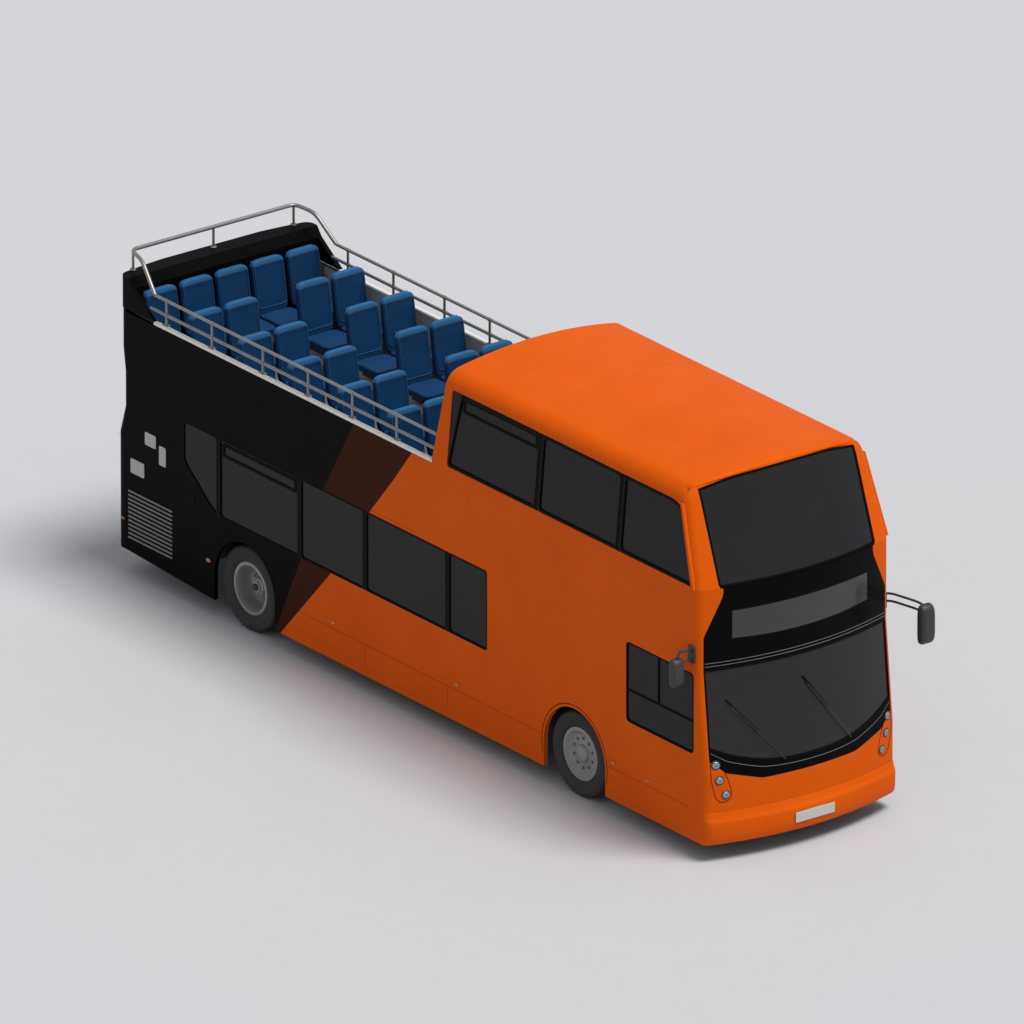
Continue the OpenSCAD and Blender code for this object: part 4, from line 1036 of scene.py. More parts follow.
    def upper_screen(self) -> None:
        """The leaning upper windscreen, its rubber, and the orange frame round it."""
        half = self.upper_screen_half
        y = (half - 0.012) * self.spread(61)
        low = np.full_like(y, SHAPE.upper_sill_z + 0.012)
        made("upper_screen_glass",
             shell(self.between(y, low, self.screen_top(y) - 0.012, 24, -0.012), 0.008), SCREEN,
             replaces=("upper_windscreen",))
        sweep = np.linspace(-half, half, 50)
        climb = np.linspace(SHAPE.upper_sill_z + 0.02, self.screen_top(np.array([half]))[0] - 0.02, 16)
        self.rubber("upper_screen_rubber", np.concatenate([
            np.column_stack([sweep, np.full(50, SHAPE.upper_sill_z + 0.006)]),
            np.column_stack([np.full(16, half), climb]),
            np.column_stack([sweep[::-1], self.screen_top(sweep[::-1])]),
            np.column_stack([np.full(16, -half), climb[::-1]]),
        ]), 0.013)
        y = half * self.spread(61)
        made("upper_sill", shell(self.between(y, np.full_like(y, 3.0655), np.full_like(y, 3.085), 2), 0.02),
             MASK)
        grid = self.between(y, self.screen_top(y) + 0.004, self.roof_edge(y), 5)
        made("header", shell(grid, self.skin), ORANGE, replaces=("upper_front_frame",))
        for side, word in ((LEFT, "left"), (RIGHT, "right")):
            z = np.linspace(3.0655, 3.9445, 22)
            outer = SHAPE.side_y(z)
            bend = np.sin(np.linspace(0, math.pi / 2, 26))[:, None]
            y = half + 0.004 + bend * (outer - half - 0.004)
            x = SHAPE.front(y, np.broadcast_to(z, y.shape))
            end = SHAPE.front_x - 0.4305 - (z - SHAPE.coping_z) * math.tan(SHAPE.cover_lean)
            share = np.linspace(0, 1, 4)[1:, None]
            x = np.concatenate([x, x[-1] + share * (end - x[-1])])
            y = np.concatenate([y, np.broadcast_to(outer, (3, len(z)))])
            grid = np.stack([x, side * y, np.broadcast_to(z, y.shape)], -1)
            made(f"upper_corner_{word}", shell(grid if side > 0 else grid[::-1], self.skin), ORANGE)
            y = side * (half + 0.004 + np.linspace(0, 1,
                                                   16) * (SHAPE.side_y(np.array([3.95]))[0] - half - 0.006))
            top = np.maximum(self.roof_edge(y), 3.9455) + 0.012
            grid = self.between(y, np.full_like(y, 3.9445), top, 5)
            made(f"header_corner_{word}", shell(grid if side > 0 else grid[::-1], 0.02), ORANGE)

    def roof_line(self, y: Array) -> Array:
        """Height of the roof's outer surface at y: the crown, then the shoulder's round."""
        end_y, end_z = 1.04676, 4.13319
        crown = SHAPE.roof_z - (SHAPE.roof_z - end_z) * (y / end_y) ** 2
        reach = np.clip(np.abs(y) - (SHAPE.half_w - SHAPE.tumblehome - SHAPE.roof_r), 0, SHAPE.roof_r)
        return np.where(np.abs(y) < end_y, crown, SHAPE.upper_head_z + np.sqrt(SHAPE.roof_r**2 - reach**2))

    def roof_edge(self, y: Array) -> Array:
        """Height where the roof's rounded front edge ends."""
        return self.roof_line(y) - self.edge_r * (1 - math.sin(SHAPE.cover_lean))

    def roof(self) -> None:
        """The roof: its cross-section carried forwards, then turned down over a rounded front edge."""
        bend = np.radians(np.linspace(2, 75, 12))
        shoulder = np.stack([0.995 + (SHAPE.roof_r + 0.001) * np.cos(bend),
                             3.94 + (SHAPE.roof_r + 0.001) * np.sin(bend)], -1)
        crown_y = np.linspace(1.04676, 0, 14)[1:]
        half = np.concatenate([shoulder,
                               np.stack([crown_y, self.roof_line(crown_y) + 0.001 * crown_y / 1.04676],
                                        -1)])
        section = np.concatenate([half, (half * [-1, 1])[-2::-1]])
        y, z = section[:, 0], section[:, 1]
        rear = SHAPE.front_x - SHAPE.cover_l + SHAPE.cover_rake * (z - SHAPE.coping_z) / 1.175
        lean, r = SHAPE.cover_lean, self.edge_r
        inner_half = SHAPE.side_y(np.minimum(z, 4.10))
        front = SHAPE.mask_x + SHAPE.bow(y, SHAPE.front_bow,
                                         inner_half) - (z - r - SHAPE.coping_z) * math.tan(lean)
        centre = front - r / math.cos(lean)
        share = np.linspace(0, 1, 24)
        run = rear[:, None] + share * (centre - rear)[:, None]
        turn = np.linspace(math.pi / 2, lean, 8)[1:]
        x = np.concatenate([run, centre[:, None] + r * np.cos(turn)], 1)
        zz = np.concatenate([np.broadcast_to(z[:, None], run.shape), z[:, None] - r + r * np.sin(turn)], 1)
        yy = np.broadcast_to(y[:, None], x.shape)
        made("roof_skin", shell(np.stack([x, yy, zz], -1), 0.025), ORANGE, replaces=("roof",))
        lining = np.stack([run, yy[:, :24] * 0.985, zz[:, :24] - 0.032], -1)
        made("ceiling_lining", shell(lining[2:-2, :23], 0.012), LINING)

    def lights_and_plate(self) -> None:
        """Round lamps in dark bezels at each corner, the seam round them, and a blank plate."""
        turn = np.linspace(0, 2 * math.pi, self.lamp_turn, endpoint=False)
        circle = np.stack([np.cos(turn), np.sin(turn)], -1)
        bezels, lenses, reflectors = [], [], []
        for side in (LEFT, RIGHT):
            for y, z in self.lamps:
                middle = np.array([side * y, z])
                bezels.append(plate(middle + circle * (self.lamp_r + 0.007), on_front(0.0), 0.006, 0.004))
                lenses.append(plate(middle + circle * self.lamp_r * 0.88, on_front(0.004), 0.011, 0.010))
                reflectors.append(plate(middle + circle * self.lamp_r * 0.4, on_front(0.0145), 0.003,
                                        0.003))
        made("lamp_bezels", joined(bezels), PLASTIC)
        made("lamp_lenses", joined(lenses), LAMP, replaces=("headlamps",))
        made("lamp_bulls_eyes", joined(reflectors), NUTS)
        seams = []
        for side in (LEFT, RIGHT):
            ring_yz = rounded_path([(side * a, b) for a, b in ((1.205, 1.13), (1.205, 0.93), (1.15, 0.70),
                                                               (1.08, 0.655),
                                    (0.99, 0.69), (0.975, 0.76), (1.03, 0.95), (1.075, 1.04))], 0.05)
            path = np.column_stack([SHAPE.front(ring_yz[:, 0], ring_yz[:, 1]), ring_yz])
            seams.append(carried(ring(0.0035, 8), path, (1, 0, 0)))
        made("lamp_pod_seams", joined(seams), RUBBER)
        outline = round_rect(-0.26, 0.26, 0.2925, 0.4075, 0.012)
        plates = [
            plate(outline + [0, rise], on_spot((x + way * 0.0005, 0, 0), LEFTWARD, UPWARD, (way, 0, 0)),
                  0.007, 0.002)
            for x, way, rise in ((SHAPE.front_x, 1, 0), (SHAPE.rear_x, -1, 0.09))
        ]
        made("blank_plates", joined(plates), BLANK, replaces=("number_plates",))

    def wipers(self) -> None:
        """Two long arms that lie across the windscreen, each with its blade."""
        arms, blades = [], []
        for foot, tip in (((-0.35, 1.03), (-0.95, 1.72)), ((0.55, 1.05), (-0.02, 1.80))):
            t = np.linspace(0, 1, 12)[:, None]
            foot, tip = np.array(foot), np.array(tip)
            line = foot + t * (tip - foot)
            lift = 0.012 + 0.02 * np.sin(math.pi * t[:, 0])
            arms.append(tube(np.column_stack([SHAPE.front(line[:, 0], line[:, 1]) + lift - 0.004, line]),
                             0.006, (1, 0, 0), 10))
            way = (tip - foot) / np.linalg.norm(tip - foot)
            blade = tip + np.linspace(-0.42, 0.10, 12)[:, None] * way + [0.02, 0.0]
            path = np.column_stack([SHAPE.front(blade[:, 0], blade[:, 1]) + 0.001, blade])
            blades.append(carried(np.array([(-0.008, -0.008), (0.008, -0.008), (0.005, 0.008),
                                            (-0.005, 0.008)]), path, (1, 0, 0)))
        made("wiper_arms", joined(arms), PLASTIC)
        made("wiper_blades", joined(blades), RUBBER)

    def build(self) -> None:
        """Builds the whole front."""
        for step in (self.bumper, self.panel, self.lower_screen, self.mask, self.upper_screen, self.roof,
                     self.lights_and_plate, self.wipers):
            step()


@dataclass
class Wheels:
    """Six tyres with tread, flat front rims and deep rear rims, nuts and hub caps."""

    tyre_r: float = 0.48
    half: float = 0.1375
    tyre_y: float = 1.0875
    twin_y: float = 0.7625
    axle_z: float = 0.48
    nuts: int = 10
    nut_circle: float = 0.1675

    def tyre(self, centre: Sequence[float], out: float) -> Form:
        """A turned tyre whose shoulders are cut by lugs.

        The radius of a shoulder point drops where the sine of 48 times its angle is above a half.
        """
        h, top = self.half, self.tyre_r
        side = [(0.288, 0.098), (0.305, 0.106), (0.315, 0.119), (0.335, 0.128), (0.342, 0.126),
                (0.349, 0.130), (0.385, h), (0.40, h), (0.405, h - 0.003), (0.41, h), (0.44, h - 0.002),
                (0.462, h - 0.008), (0.474, h - 0.018), (top - 0.0005, h - 0.032)]
        grooves = []
        for reach in (0.066, 0.022, -0.022, -0.066):
            grooves += [(top, reach + 0.005), (top - 0.011, reach + 0.003), (top - 0.011, reach - 0.003),
                        (top, reach - 0.005)]
        profile = np.array(side + grooves + [(r, -a) for r, a in side[::-1]])
        form = lathe(profile, (0, 0, 0), out, 192)
        p = form.points.copy()
        radius = np.hypot(p[:, 0], p[:, 2])
        turn = np.arctan2(p[:, 0], p[:, 2])
        shoulder = (radius > 0.458) & (np.abs(p[:, 1]) > 0.072)
        drop = np.where(shoulder & (np.sin(48 * turn + 0.6 * np.sign(p[:, 1])) > 0.5), 0.008, 0.0)
        scale = 1 - drop / np.maximum(radius, 0.1)
        p[:, 0] *= scale
        p[:, 2] *= scale
        return Form(p + np.asarray(centre, float), form.faces, form.uv)

    def hexagons(self, centre: Array, out: float, reach: float, circle: float, size: float,
                 tall: float) -> Form:
        """Six-sided nuts set round a circle on a wheel's face, each with a bevelled end."""
        forms = []
        for k in range(self.nuts):
            turn = 2 * math.pi * k / self.nuts
            middle = circle * np.array([math.sin(turn), math.cos(turn)])
            there = on_spot(centre + [0, out * reach, 0], AHEAD, UPWARD, (0, out, 0))
            forms.append(plate(middle + ring(size, 6), there, tall, tall * 0.3))
        return joined(forms)

    def front_rim(self, centre: Array, out: float) -> Form:
        """A flat face, a shallow round hub and a rolled flange, turned as one."""
        profile = np.array([
            (0.0, 0.110), (0.05, 0.109), (0.082, 0.104), (0.095, 0.093), (0.102, 0.070), (0.112, 0.066),
            (0.205, 0.066), (0.214, 0.069), (0.228, 0.084), (0.246, 0.094), (0.256, 0.103), (0.262, 0.1115),
            (0.296, 0.1115), (0.2995, 0.108), (0.298, 0.102), (0.2855, 0.098), (0.2855, -0.098),
            (0.298, -0.102), (0.2995, -0.1115), (0.256, -0.1115), (0.252, 0.050), (0.105, 0.050),
            (0.100, 0.022), (0.041, 0.022), (0.041, 0.062), (0.0, 0.062)
        ])
        return lathe(profile, centre, out)

    def rear_rims(self, centre: Array, out: float) -> Form:
        """A deep dish with a stepped hub, and the plain inner rim behind it."""
        dish = np.array([
            (0.0, 0.0395), (0.045, 0.039), (0.066, 0.035), (0.070, 0.020), (0.088, 0.016), (0.098, 0.008),
            (0.103, -0.02), (0.125, -0.03), (0.137, -0.045), (0.139, -0.084), (0.150, -0.090),
            (0.196, -0.090), (0.210, -0.086), (0.232, -0.062), (0.243, -0.02), (0.247, 0.04),
            (0.252, 0.085), (0.262, 0.1115), (0.296, 0.1115), (0.2995, 0.108), (0.298, 0.102),
            (0.2855, 0.098), (0.2855, -0.098), (0.298, -0.102), (0.2995, -0.1115), (0.25, -0.1115),
            (0.24, -0.104), (0.138, -0.104), (0.138, -0.23), (0.041, -0.23), (0.041, 0.037), (0.0, 0.037)
        ])
        inner = np.array([
            (0.250, 0.1115), (0.2995, 0.1115), (0.298, 0.102), (0.2855, 0.098), (0.2855, -0.098),
            (0.298, -0.102), (0.2995, -0.1115), (0.250, -0.1115), (0.250, 0.090), (0.141, 0.090),
            (0.141, 0.104), (0.250, 0.104)
        ])
        behind = centre - np.array([0, out * (self.tyre_y - self.twin_y), 0])
        return joined([lathe(dish, centre, out), lathe(inner, behind, out)])

    def build(self) -> None:
        """Builds the wheels on their four turning bodies."""
        for out, word in ((LEFT, "left"), (RIGHT, "right")):
            front = np.array([SHAPE.front_axle_x, out * self.tyre_y, self.axle_z])
            rear = np.array([SHAPE.rear_axle_x, out * self.tyre_y, self.axle_z])
            twin = np.array([SHAPE.rear_axle_x, out * self.twin_y, self.axle_z])
            ahead = Body.FRONT_LEFT if out > 0 else Body.FRONT_RIGHT
            astern = Body.REAR_LEFT if out > 0 else Body.REAR_RIGHT
            made(f"front_{word}_tread", self.tyre(front, out), TYRE, ahead, (f"front_{word}_tyre",), 25)
            made(f"rear_{word}_treads", joined([self.tyre(rear, out), self.tyre(twin, out)]), TYRE, astern,
                 (f"rear_{word}_tyres",), 25)
            made(f"front_{word}_wheel_face", self.front_rim(front, out), RIM, ahead, (f"front_{word}_rim",))
            made(f"rear_{word}_wheel_face", self.rear_rims(rear, out), RIM, astern, (f"rear_{word}_rims",))
            made(f"front_{word}_nuts", self.hexagons(front, out, 0.066, self.nut_circle, 0.016, 0.022),
                 NUTS, ahead)
            made(f"rear_{word}_nuts", self.hexagons(rear, out, -0.090, self.nut_circle, 0.016, 0.022), NUTS,
                 astern)


@dataclass
class Seating:
    """Padded cushions and backs on the frame's seat places, with sewn seams."""

    pitch: float = 0.885
    seat_w: float = 0.44
    seat_pitch: float = 0.478
    cushion_l: float = 0.43
    cushion_t: float = 0.11
    cushion_h: float = 0.45
    back_h: float = 1.01
    back_t: float = 0.09
    lean: float = math.radians(9.0)
    seam: float = 0.0005
    stair_top_x: float = 0.125
    stair_l: float = 1.84
    platform_z: float = 0.70
    floor_z: float = 0.36

    cord_depth: float = -0.0045

    @property
    def tall(self) -> float:
        """Length of a back along its own slope."""
        return self.back_h - self.cushion_h + 0.07

    def leaned(self, depth: Array | float, across: Array | float, up: Array) -> Array:
        """Places in a back's own frame, turned backwards by its lean."""
        c, s = math.cos(self.lean), math.sin(self.lean)
        return spaced(depth * c - up * s, across, depth * s + up * c)

    def places(self) -> Array:
        """Each seat's back face, middle across the bus and floor, as rows of (x, y, z)."""
        four, five, left = (-2, -1, 1, 2), (-2, -1, 0, 1, 2), (1, 2)
        rows = [(SHAPE.rear_x + 0.582, SHAPE.upper_floor_z, five)]
        for k in range(1, 11):
            x = SHAPE.rear_x + 0.510 + k * self.pitch
            by_stairs = self.stair_top_x - 0.45 < x < self.stair_top_x + self.stair_l - 0.10
            rows.append((x, SHAPE.upper_floor_z, left if by_stairs else four))
        rows.append((SHAPE.rear_axle_x - 1.26 + 0.22, self.platform_z, four))
        start = SHAPE.rear_axle_x + 1.05
        rows += [(start + k * self.pitch, self.floor_z, four) for k in range(3)]
        rows.append((start + 3 * self.pitch, self.floor_z, left))
        return np.array([(x, place * self.seat_pitch, z) for x, z, spots in rows for place in spots])

    def block(self, count: int, power: float) -> tuple[Array, list[list[int]]]:
        """A cube of squares pulled to a rounded box.

        A point p of the unit cube's skin moves to p / (|x|^n + |y|^n + |z|^n)^(1/n).

        Args:
            count: Squares along an edge.
            power: The n of the formula; larger is squarer.

        Returns:
            Points from -1 to 1 and the faces, with shared edges joined.
        """
        t = np.sin(np.linspace(-math.pi / 2, math.pi / 2, count + 1) * 0.92) / math.sin(math.pi / 2 * 0.92)
        a, b = np.meshgrid(t, t, indexing="ij")
        points, faces, start = [], [], 0
        for axis in range(3):
            for sign in (-1.0, 1.0):
                grid = np.stack([np.full_like(a, sign), a, b], -1)
                form = sheet(np.roll(grid, axis, -1)[:: int(sign)])
                points.append(form.points)
                faces += [[k + start for k in face] for face in form.faces]
                start += len(form.points)
        raw = np.concatenate(points)
        spots, where = np.unique(np.round(raw, 6), axis=0, return_inverse=True)
        where = where.ravel()
        size = (np.abs(spots) ** power).sum(1) ** (1 / power)
        return spots / size[:, None], [[int(where[k]) for k in face] for face in faces]

    def bell(self, value: Array, middle: float, width: float) -> Array:
        """One at the middle, falling off as exp(-((value - middle) / width)^2)."""
        return np.exp(-(((value - middle) / width) ** 2))

    def cushion(self) -> Form:
        """One cushion: a rounded box with a crown, a front roll and sewn lines that sink in.

        Height gains crown (1 - x^2)(1 - y^2) on top and loses a narrow bell at each seam.
        """
        p, faces = self.block(14, 7.0)
        x, y, z = p[:, 0], p[:, 1], p[:, 2]
        top = np.clip(z, 0, 1)
        rise = 0.018 * top * (1 - x**2) * (1 - y**2)
        seams = self.bell(np.abs(y), 0.62, 0.07) + self.bell(x, 0.62, 0.07)
        rise -= 0.007 * top * seams
        pull = 1 - 0.035 * (1 - np.abs(z)) * (1 - np.abs(y) ** 4)
        half_l, half_w, half_t = self.cushion_l / 2, self.seat_w / 2, self.cushion_t / 2
        points = np.stack([half_l + x * half_l * 0.995, y * half_w * 0.985 * pull,
                           -half_t - 0.006 + z * (half_t - 0.008) + rise], -1)
        sag = 0.012 * np.clip(-x, 0, 1) * top
        points[:, 2] -= sag
        return Form(points, faces, np.stack([(x + 1) / 2, np.zeros_like(y)], -1))

    def back(self) -> Form:
        """One back: a rounded box, thicker at its rolled top band, its middle hollowed a little.

        Its height over its own foot is kept in the surface map for the paler band.
        """
        p, faces = self.block(14, 7.0)
        x, y, z = p[:, 0], p[:, 1], p[:, 2]
        share = (z + 1) / 2
        band = 1 / (1 + np.exp(-(share - 0.86) / 0.012))
        seam = self.bell(share, 0.86, 0.018) + 0.8 * self.bell(np.abs(y), 0.64, 0.06) * (1 - band)
        face = np.clip(x, 0, 1)
        thick = 0.82 + 0.18 * band
        half_t = self.back_t / 2
        hollow = 0.010 * face * (1 - y**2) * self.bell(share, 0.55, 0.2)
        depth = x * half_t * thick - 0.006 * face * seam - hollow
        pull = 1 - 0.03 * (1 - np.abs(x)) - 0.06 * np.clip(share - 0.9, 0, 1) * 4
        local = np.stack([-half_t + depth, y * self.seat_w / 2 * 0.985 * pull,
                          0.004 + share * (self.tall - 0.008)], -1)
        return Form(self.leaned(*local.T), faces, np.stack([(y + 1) / 2, share], -1))

    def repeated(self, one: Form, moves: Array) -> Form:
        """One form set down at each of several places."""
        count = len(one.points)
        points = (moves[:, None] + one.points[None]).reshape(-1, 3)
        faces = np.array(one.faces)
        every = (faces[None] + (np.arange(len(moves)) * count)[:, None, None]).reshape(-1, faces.shape[1])
        uv = None if one.uv is None else np.tile(one.uv, (len(moves), 1))
        return Form(points, every.tolist(), uv)

    def piping(self) -> Form:
        """The raised cord round a back's front edge: a rounded rectangle, leaned with the back."""
        flat = round_rect(-0.19, 0.19, 0.09, self.tall - 0.05, 0.05, 5)
        path = self.leaned(self.cord_depth, flat[:, 0], flat[:, 1])
        return carried(ring(0.0035, 6), path, (1, 0, 0), closed=True)

    def build(self) -> None:
        """Builds every cushion, back and cord, and the grab handles."""
        places = self.places()
        seat = places + [0, 0, self.cushion_h]
        back = places + [-self.seam, 0, self.cushion_h - 0.07]
        cushions = made("seat_cushion_pads", outward(self.repeated(self.cushion(), seat)), SEAT,
                        replaces=("seat_cushions",), sharp=60)
        backs = made("seat_back_pads", outward(self.repeated(self.back(), back)), SEAT,
                     replaces=("seat_backs",), sharp=60)
        made("seat_piping", self.repeated(self.piping(), back), PIPING)
        grips = [self.grip(p) for p in back if p[2] > SHAPE.upper_floor_z]
        made("seat_grips", joined(grips), PLASTIC)

    def grip(self, foot: Array) -> Form:
        """A grab handle over a back's outer top corner: a short bent bar behind the roll."""
        side = 1.0 if abs(foot[1]) % 0.956 > 0.3 else -1.0
        y = -math.copysign(0.17, foot[1]) * side
        corners = ((-0.10, 0.16), (-0.125, 0.10), (-0.118, 0.03), (-0.085, 0.02))
        flat = rounded_path([(x, self.tall - below) for x, below in corners], 0.03, 5)
        return carried(ring(0.009, 8), self.leaned(flat[:, 0], y, flat[:, 1]) + foot, (0, 1, 0))


@dataclass
class DeckEdge:
    """Rails with their feet, the pale coping, and the cowl's ledge trim round the open deck."""

    rail_d: float = 0.036
    hoop_d: float = 0.045
    posts: tuple[float, ...] = (0.925, 1.739, 2.650, 3.455, 4.242, 5.030)

    def rails(self) -> None:
        """Straight rails and posts, and the hoop as one bent tube."""
        y, top, mid = SHAPE.half_w - 0.055, SHAPE.coping_z + 0.285, SHAPE.coping_z + 0.115
        hoop_z, hoop_y, rear = SHAPE.cowl_z + 0.23, SHAPE.half_w - 0.175, SHAPE.rear_x
        rake = SHAPE.cover_rake / (SHAPE.roof_z - SHAPE.coping_z)
        start = SHAPE.front_x - SHAPE.cover_l
        forms, feet = [], []
        for side in (LEFT, RIGHT):
            ends = ((top, rear + 0.72, start + rake * 0.267), (mid, rear + 0.64, start + rake * 0.097))
            for z, x0, x1 in ends:
                forms.append(tube([(x0, side * y, z), ((x0 + x1) / 2, side * y, z),
                                   (x1 - 0.001, side * y, z)], self.rail_d / 2))
                there = on_spot((x1 - 0.002, side * y, z), LEFTWARD, UPWARD, (-1, 0, 0))
                feet.append(plate(ring(0.034, 20), there, 0.008, 0.003))
            for post in self.posts:
                x = rear + post
                forms.append(tube([(x, side * y, SHAPE.coping_z + 0.001), (x, side * y, top - 0.01)], 0.015,
                                  (1, 0, 0)))
                there = on_spot((x, side * y, SHAPE.coping_z + 0.0005), AHEAD, LEFTWARD, UPWARD)
                feet.append(plate(round_rect(-0.045, 0.045, -0.026, 0.026, 0.012), there, 0.008, 0.003))
                for z in (mid, top):
                    feet.append(tube([(x - 0.022, side * y, z), (x + 0.022, side * y, z)],
                                     self.rail_d / 2 + 0.003))
        corners = [(rear + 0.715, -y, top + 0.002), (rear + 0.41, -hoop_y - 0.06, hoop_z - 0.025),
                   (rear + 0.13, -hoop_y, hoop_z), (rear + 0.13, hoop_y, hoop_z),
                   (rear + 0.41, hoop_y + 0.06, hoop_z - 0.025), (rear + 0.715, y, top + 0.002)]
        forms.append(tube(rounded_path(corners, 0.09), self.hoop_d / 2))
        for post_y in (-hoop_y + 0.02, 0.0, hoop_y - 0.02):
            forms.append(tube([(rear + 0.135, post_y, SHAPE.cowl_z + 0.001),
                               (rear + 0.135, post_y, hoop_z - 0.01)], 0.015, (1, 0, 0)))
            there = on_spot((rear + 0.135, post_y, SHAPE.cowl_z + 0.0005), AHEAD, LEFTWARD, UPWARD)
            feet.append(plate(ring(0.036, 20), there, 0.008, 0.003))
        made("deck_rail_tubes", joined(forms), STEEL, replaces=("deck_rails",))
        made("rail_clamps", joined(feet), STEEL)

    def edging(self) -> None:
        """The pale coping: a half-rounded moulding carried along each side."""
        y0, y1 = SHAPE.half_w - SHAPE.wall - 0.010, SHAPE.half_w - 0.0003
        z0, z1 = SHAPE.coping_z - 0.0345, SHAPE.coping_z - 0.0002
        outline = round_rect(y0, y1, z0, z1, 0.012, 5)
        x0, x1 = SHAPE.rear_x + 0.7605, SHAPE.front_x - SHAPE.cover_l - 0.0005
        forms = []
        for side in (LEFT, RIGHT):
            x = np.linspace(x0, x1, 8)
            grid = spaced(x[:, None], side * outline[:, 0], outline[:, 1])
            forms.append(capped(grid))
        made("coping_moulding", joined(forms), TRIM, replaces=("coping",))

    def build(self) -> None:
        """Builds the rails and the edging."""
        self.rails()
        self.edging()


@dataclass
class Mirrors:
    """Two grained mirror heads on bent tube arms."""

    out: float = 0.25
    ahead: float = 0.14

    def head(self, centre: Array, half: Array) -> tuple[Form, Form]:
        """A rounded housing that narrows ahead of its glass.

        The housing is a superellipse in y and z; its size falls off with depth as the square root
        of one less depth squared. The glass is a thin plate in its rear face.
        """
        turn = np.linspace(0, 2 * math.pi, 32, endpoint=False)
        c, s = np.cos(turn), np.sin(turn)
        outline = np.stack([np.sign(c) * np.abs(c) ** 0.4, np.sign(s) * np.abs(s) ** 0.4], -1)
        depth = np.array([0.0, 0.05, 0.2, 0.4, 0.6, 0.78, 0.92, 0.985])
        size = np.concatenate([[0.96, 1.0], np.sqrt(1 - 0.55 * depth[2:] ** 3)])
        size[-1] *= 0.86
        grid = spaced(centre[0] - half[0] + 2 * half[0] * depth[:, None],
                      centre[1] + half[1] * size[:, None] * outline[:, 0],
                      centre[2] + half[2] * size[:, None] * outline[:, 1])
        form = sheet(grid, wrap_v=True)
        body = outward(Form(form.points,
                            form.faces + [list(range(31, -1, -1)), list(range(7 * 32, 8 * 32))], form.uv))
        glass = plate(outline * [half[1] * 0.84, half[2] * 0.90], lambda p: np.column_stack(
            [centre[0] - half[0] - 0.0005 - p[:, 2] + 0.002, centre[1] + p[:, 0], centre[2] + p[:, 1]]),
            0.003, 0.001)
        return body, glass

    def build(self) -> None:
        """The nearside head hangs from twin arms ahead of the bumper; the offside one from a bracket."""
        w, fx = SHAPE.half_w, SHAPE.front_x
        left = self.head(np.array([fx + self.ahead - 0.05, w + self.out - 0.10, 2.18]),
                         np.array([0.05, 0.098, 0.228]))
        right = self.head(np.array([fx - 0.53, -w - self.out + 0.088, 2.125]),
                          np.array([0.048, 0.080, 0.165]))
        arms = []
        for z in (2.386, 2.30):
            arms.append(tube(rounded_path([(fx - 0.48, w + 0.0008, z), (fx - 0.42, w + 0.06, z + 0.01),
                                           (fx - 0.05, w + 0.13, z + 0.015),
                                           (fx + self.ahead - 0.06, w + 0.15, z - 0.005)], 0.08), 0.013))
        arms.append(tube(rounded_path([(fx - 0.49, -w - 0.0008, 2.345), (fx - 0.50, -w - 0.06, 2.375),
                                       (fx - 0.525, -w - 0.125, 2.375),
                                       (fx - 0.53, -w - 0.16, 2.33), (fx - 0.53, -w - 0.16, 2.28)], 0.06),
                                       0.015, (1, 0, 0)))
        arms.append(tube(rounded_path([(fx - 0.49, -w - 0.0008, 2.25), (fx - 0.51, -w - 0.05, 2.25),
                                       (fx - 0.53, -w - 0.12, 2.235)], 0.03),
                         0.012, (0, 0, 1)))
        pads = [plate(round_rect(fx - 0.55, fx - 0.43, 2.22, 2.42, 0.03),
                      on_flank(side, SHAPE.half_w + 0.0005), 0.014, 0.005)
                for side in (LEFT, RIGHT)]
        made("mirror_housings", joined([left[0], right[0]]), PLASTIC, replaces=("mirrors",))
        made("mirror_faces", joined([left[1], right[1]]), MIRROR)
        made("mirror_arms", joined(arms + pads), PLASTIC)


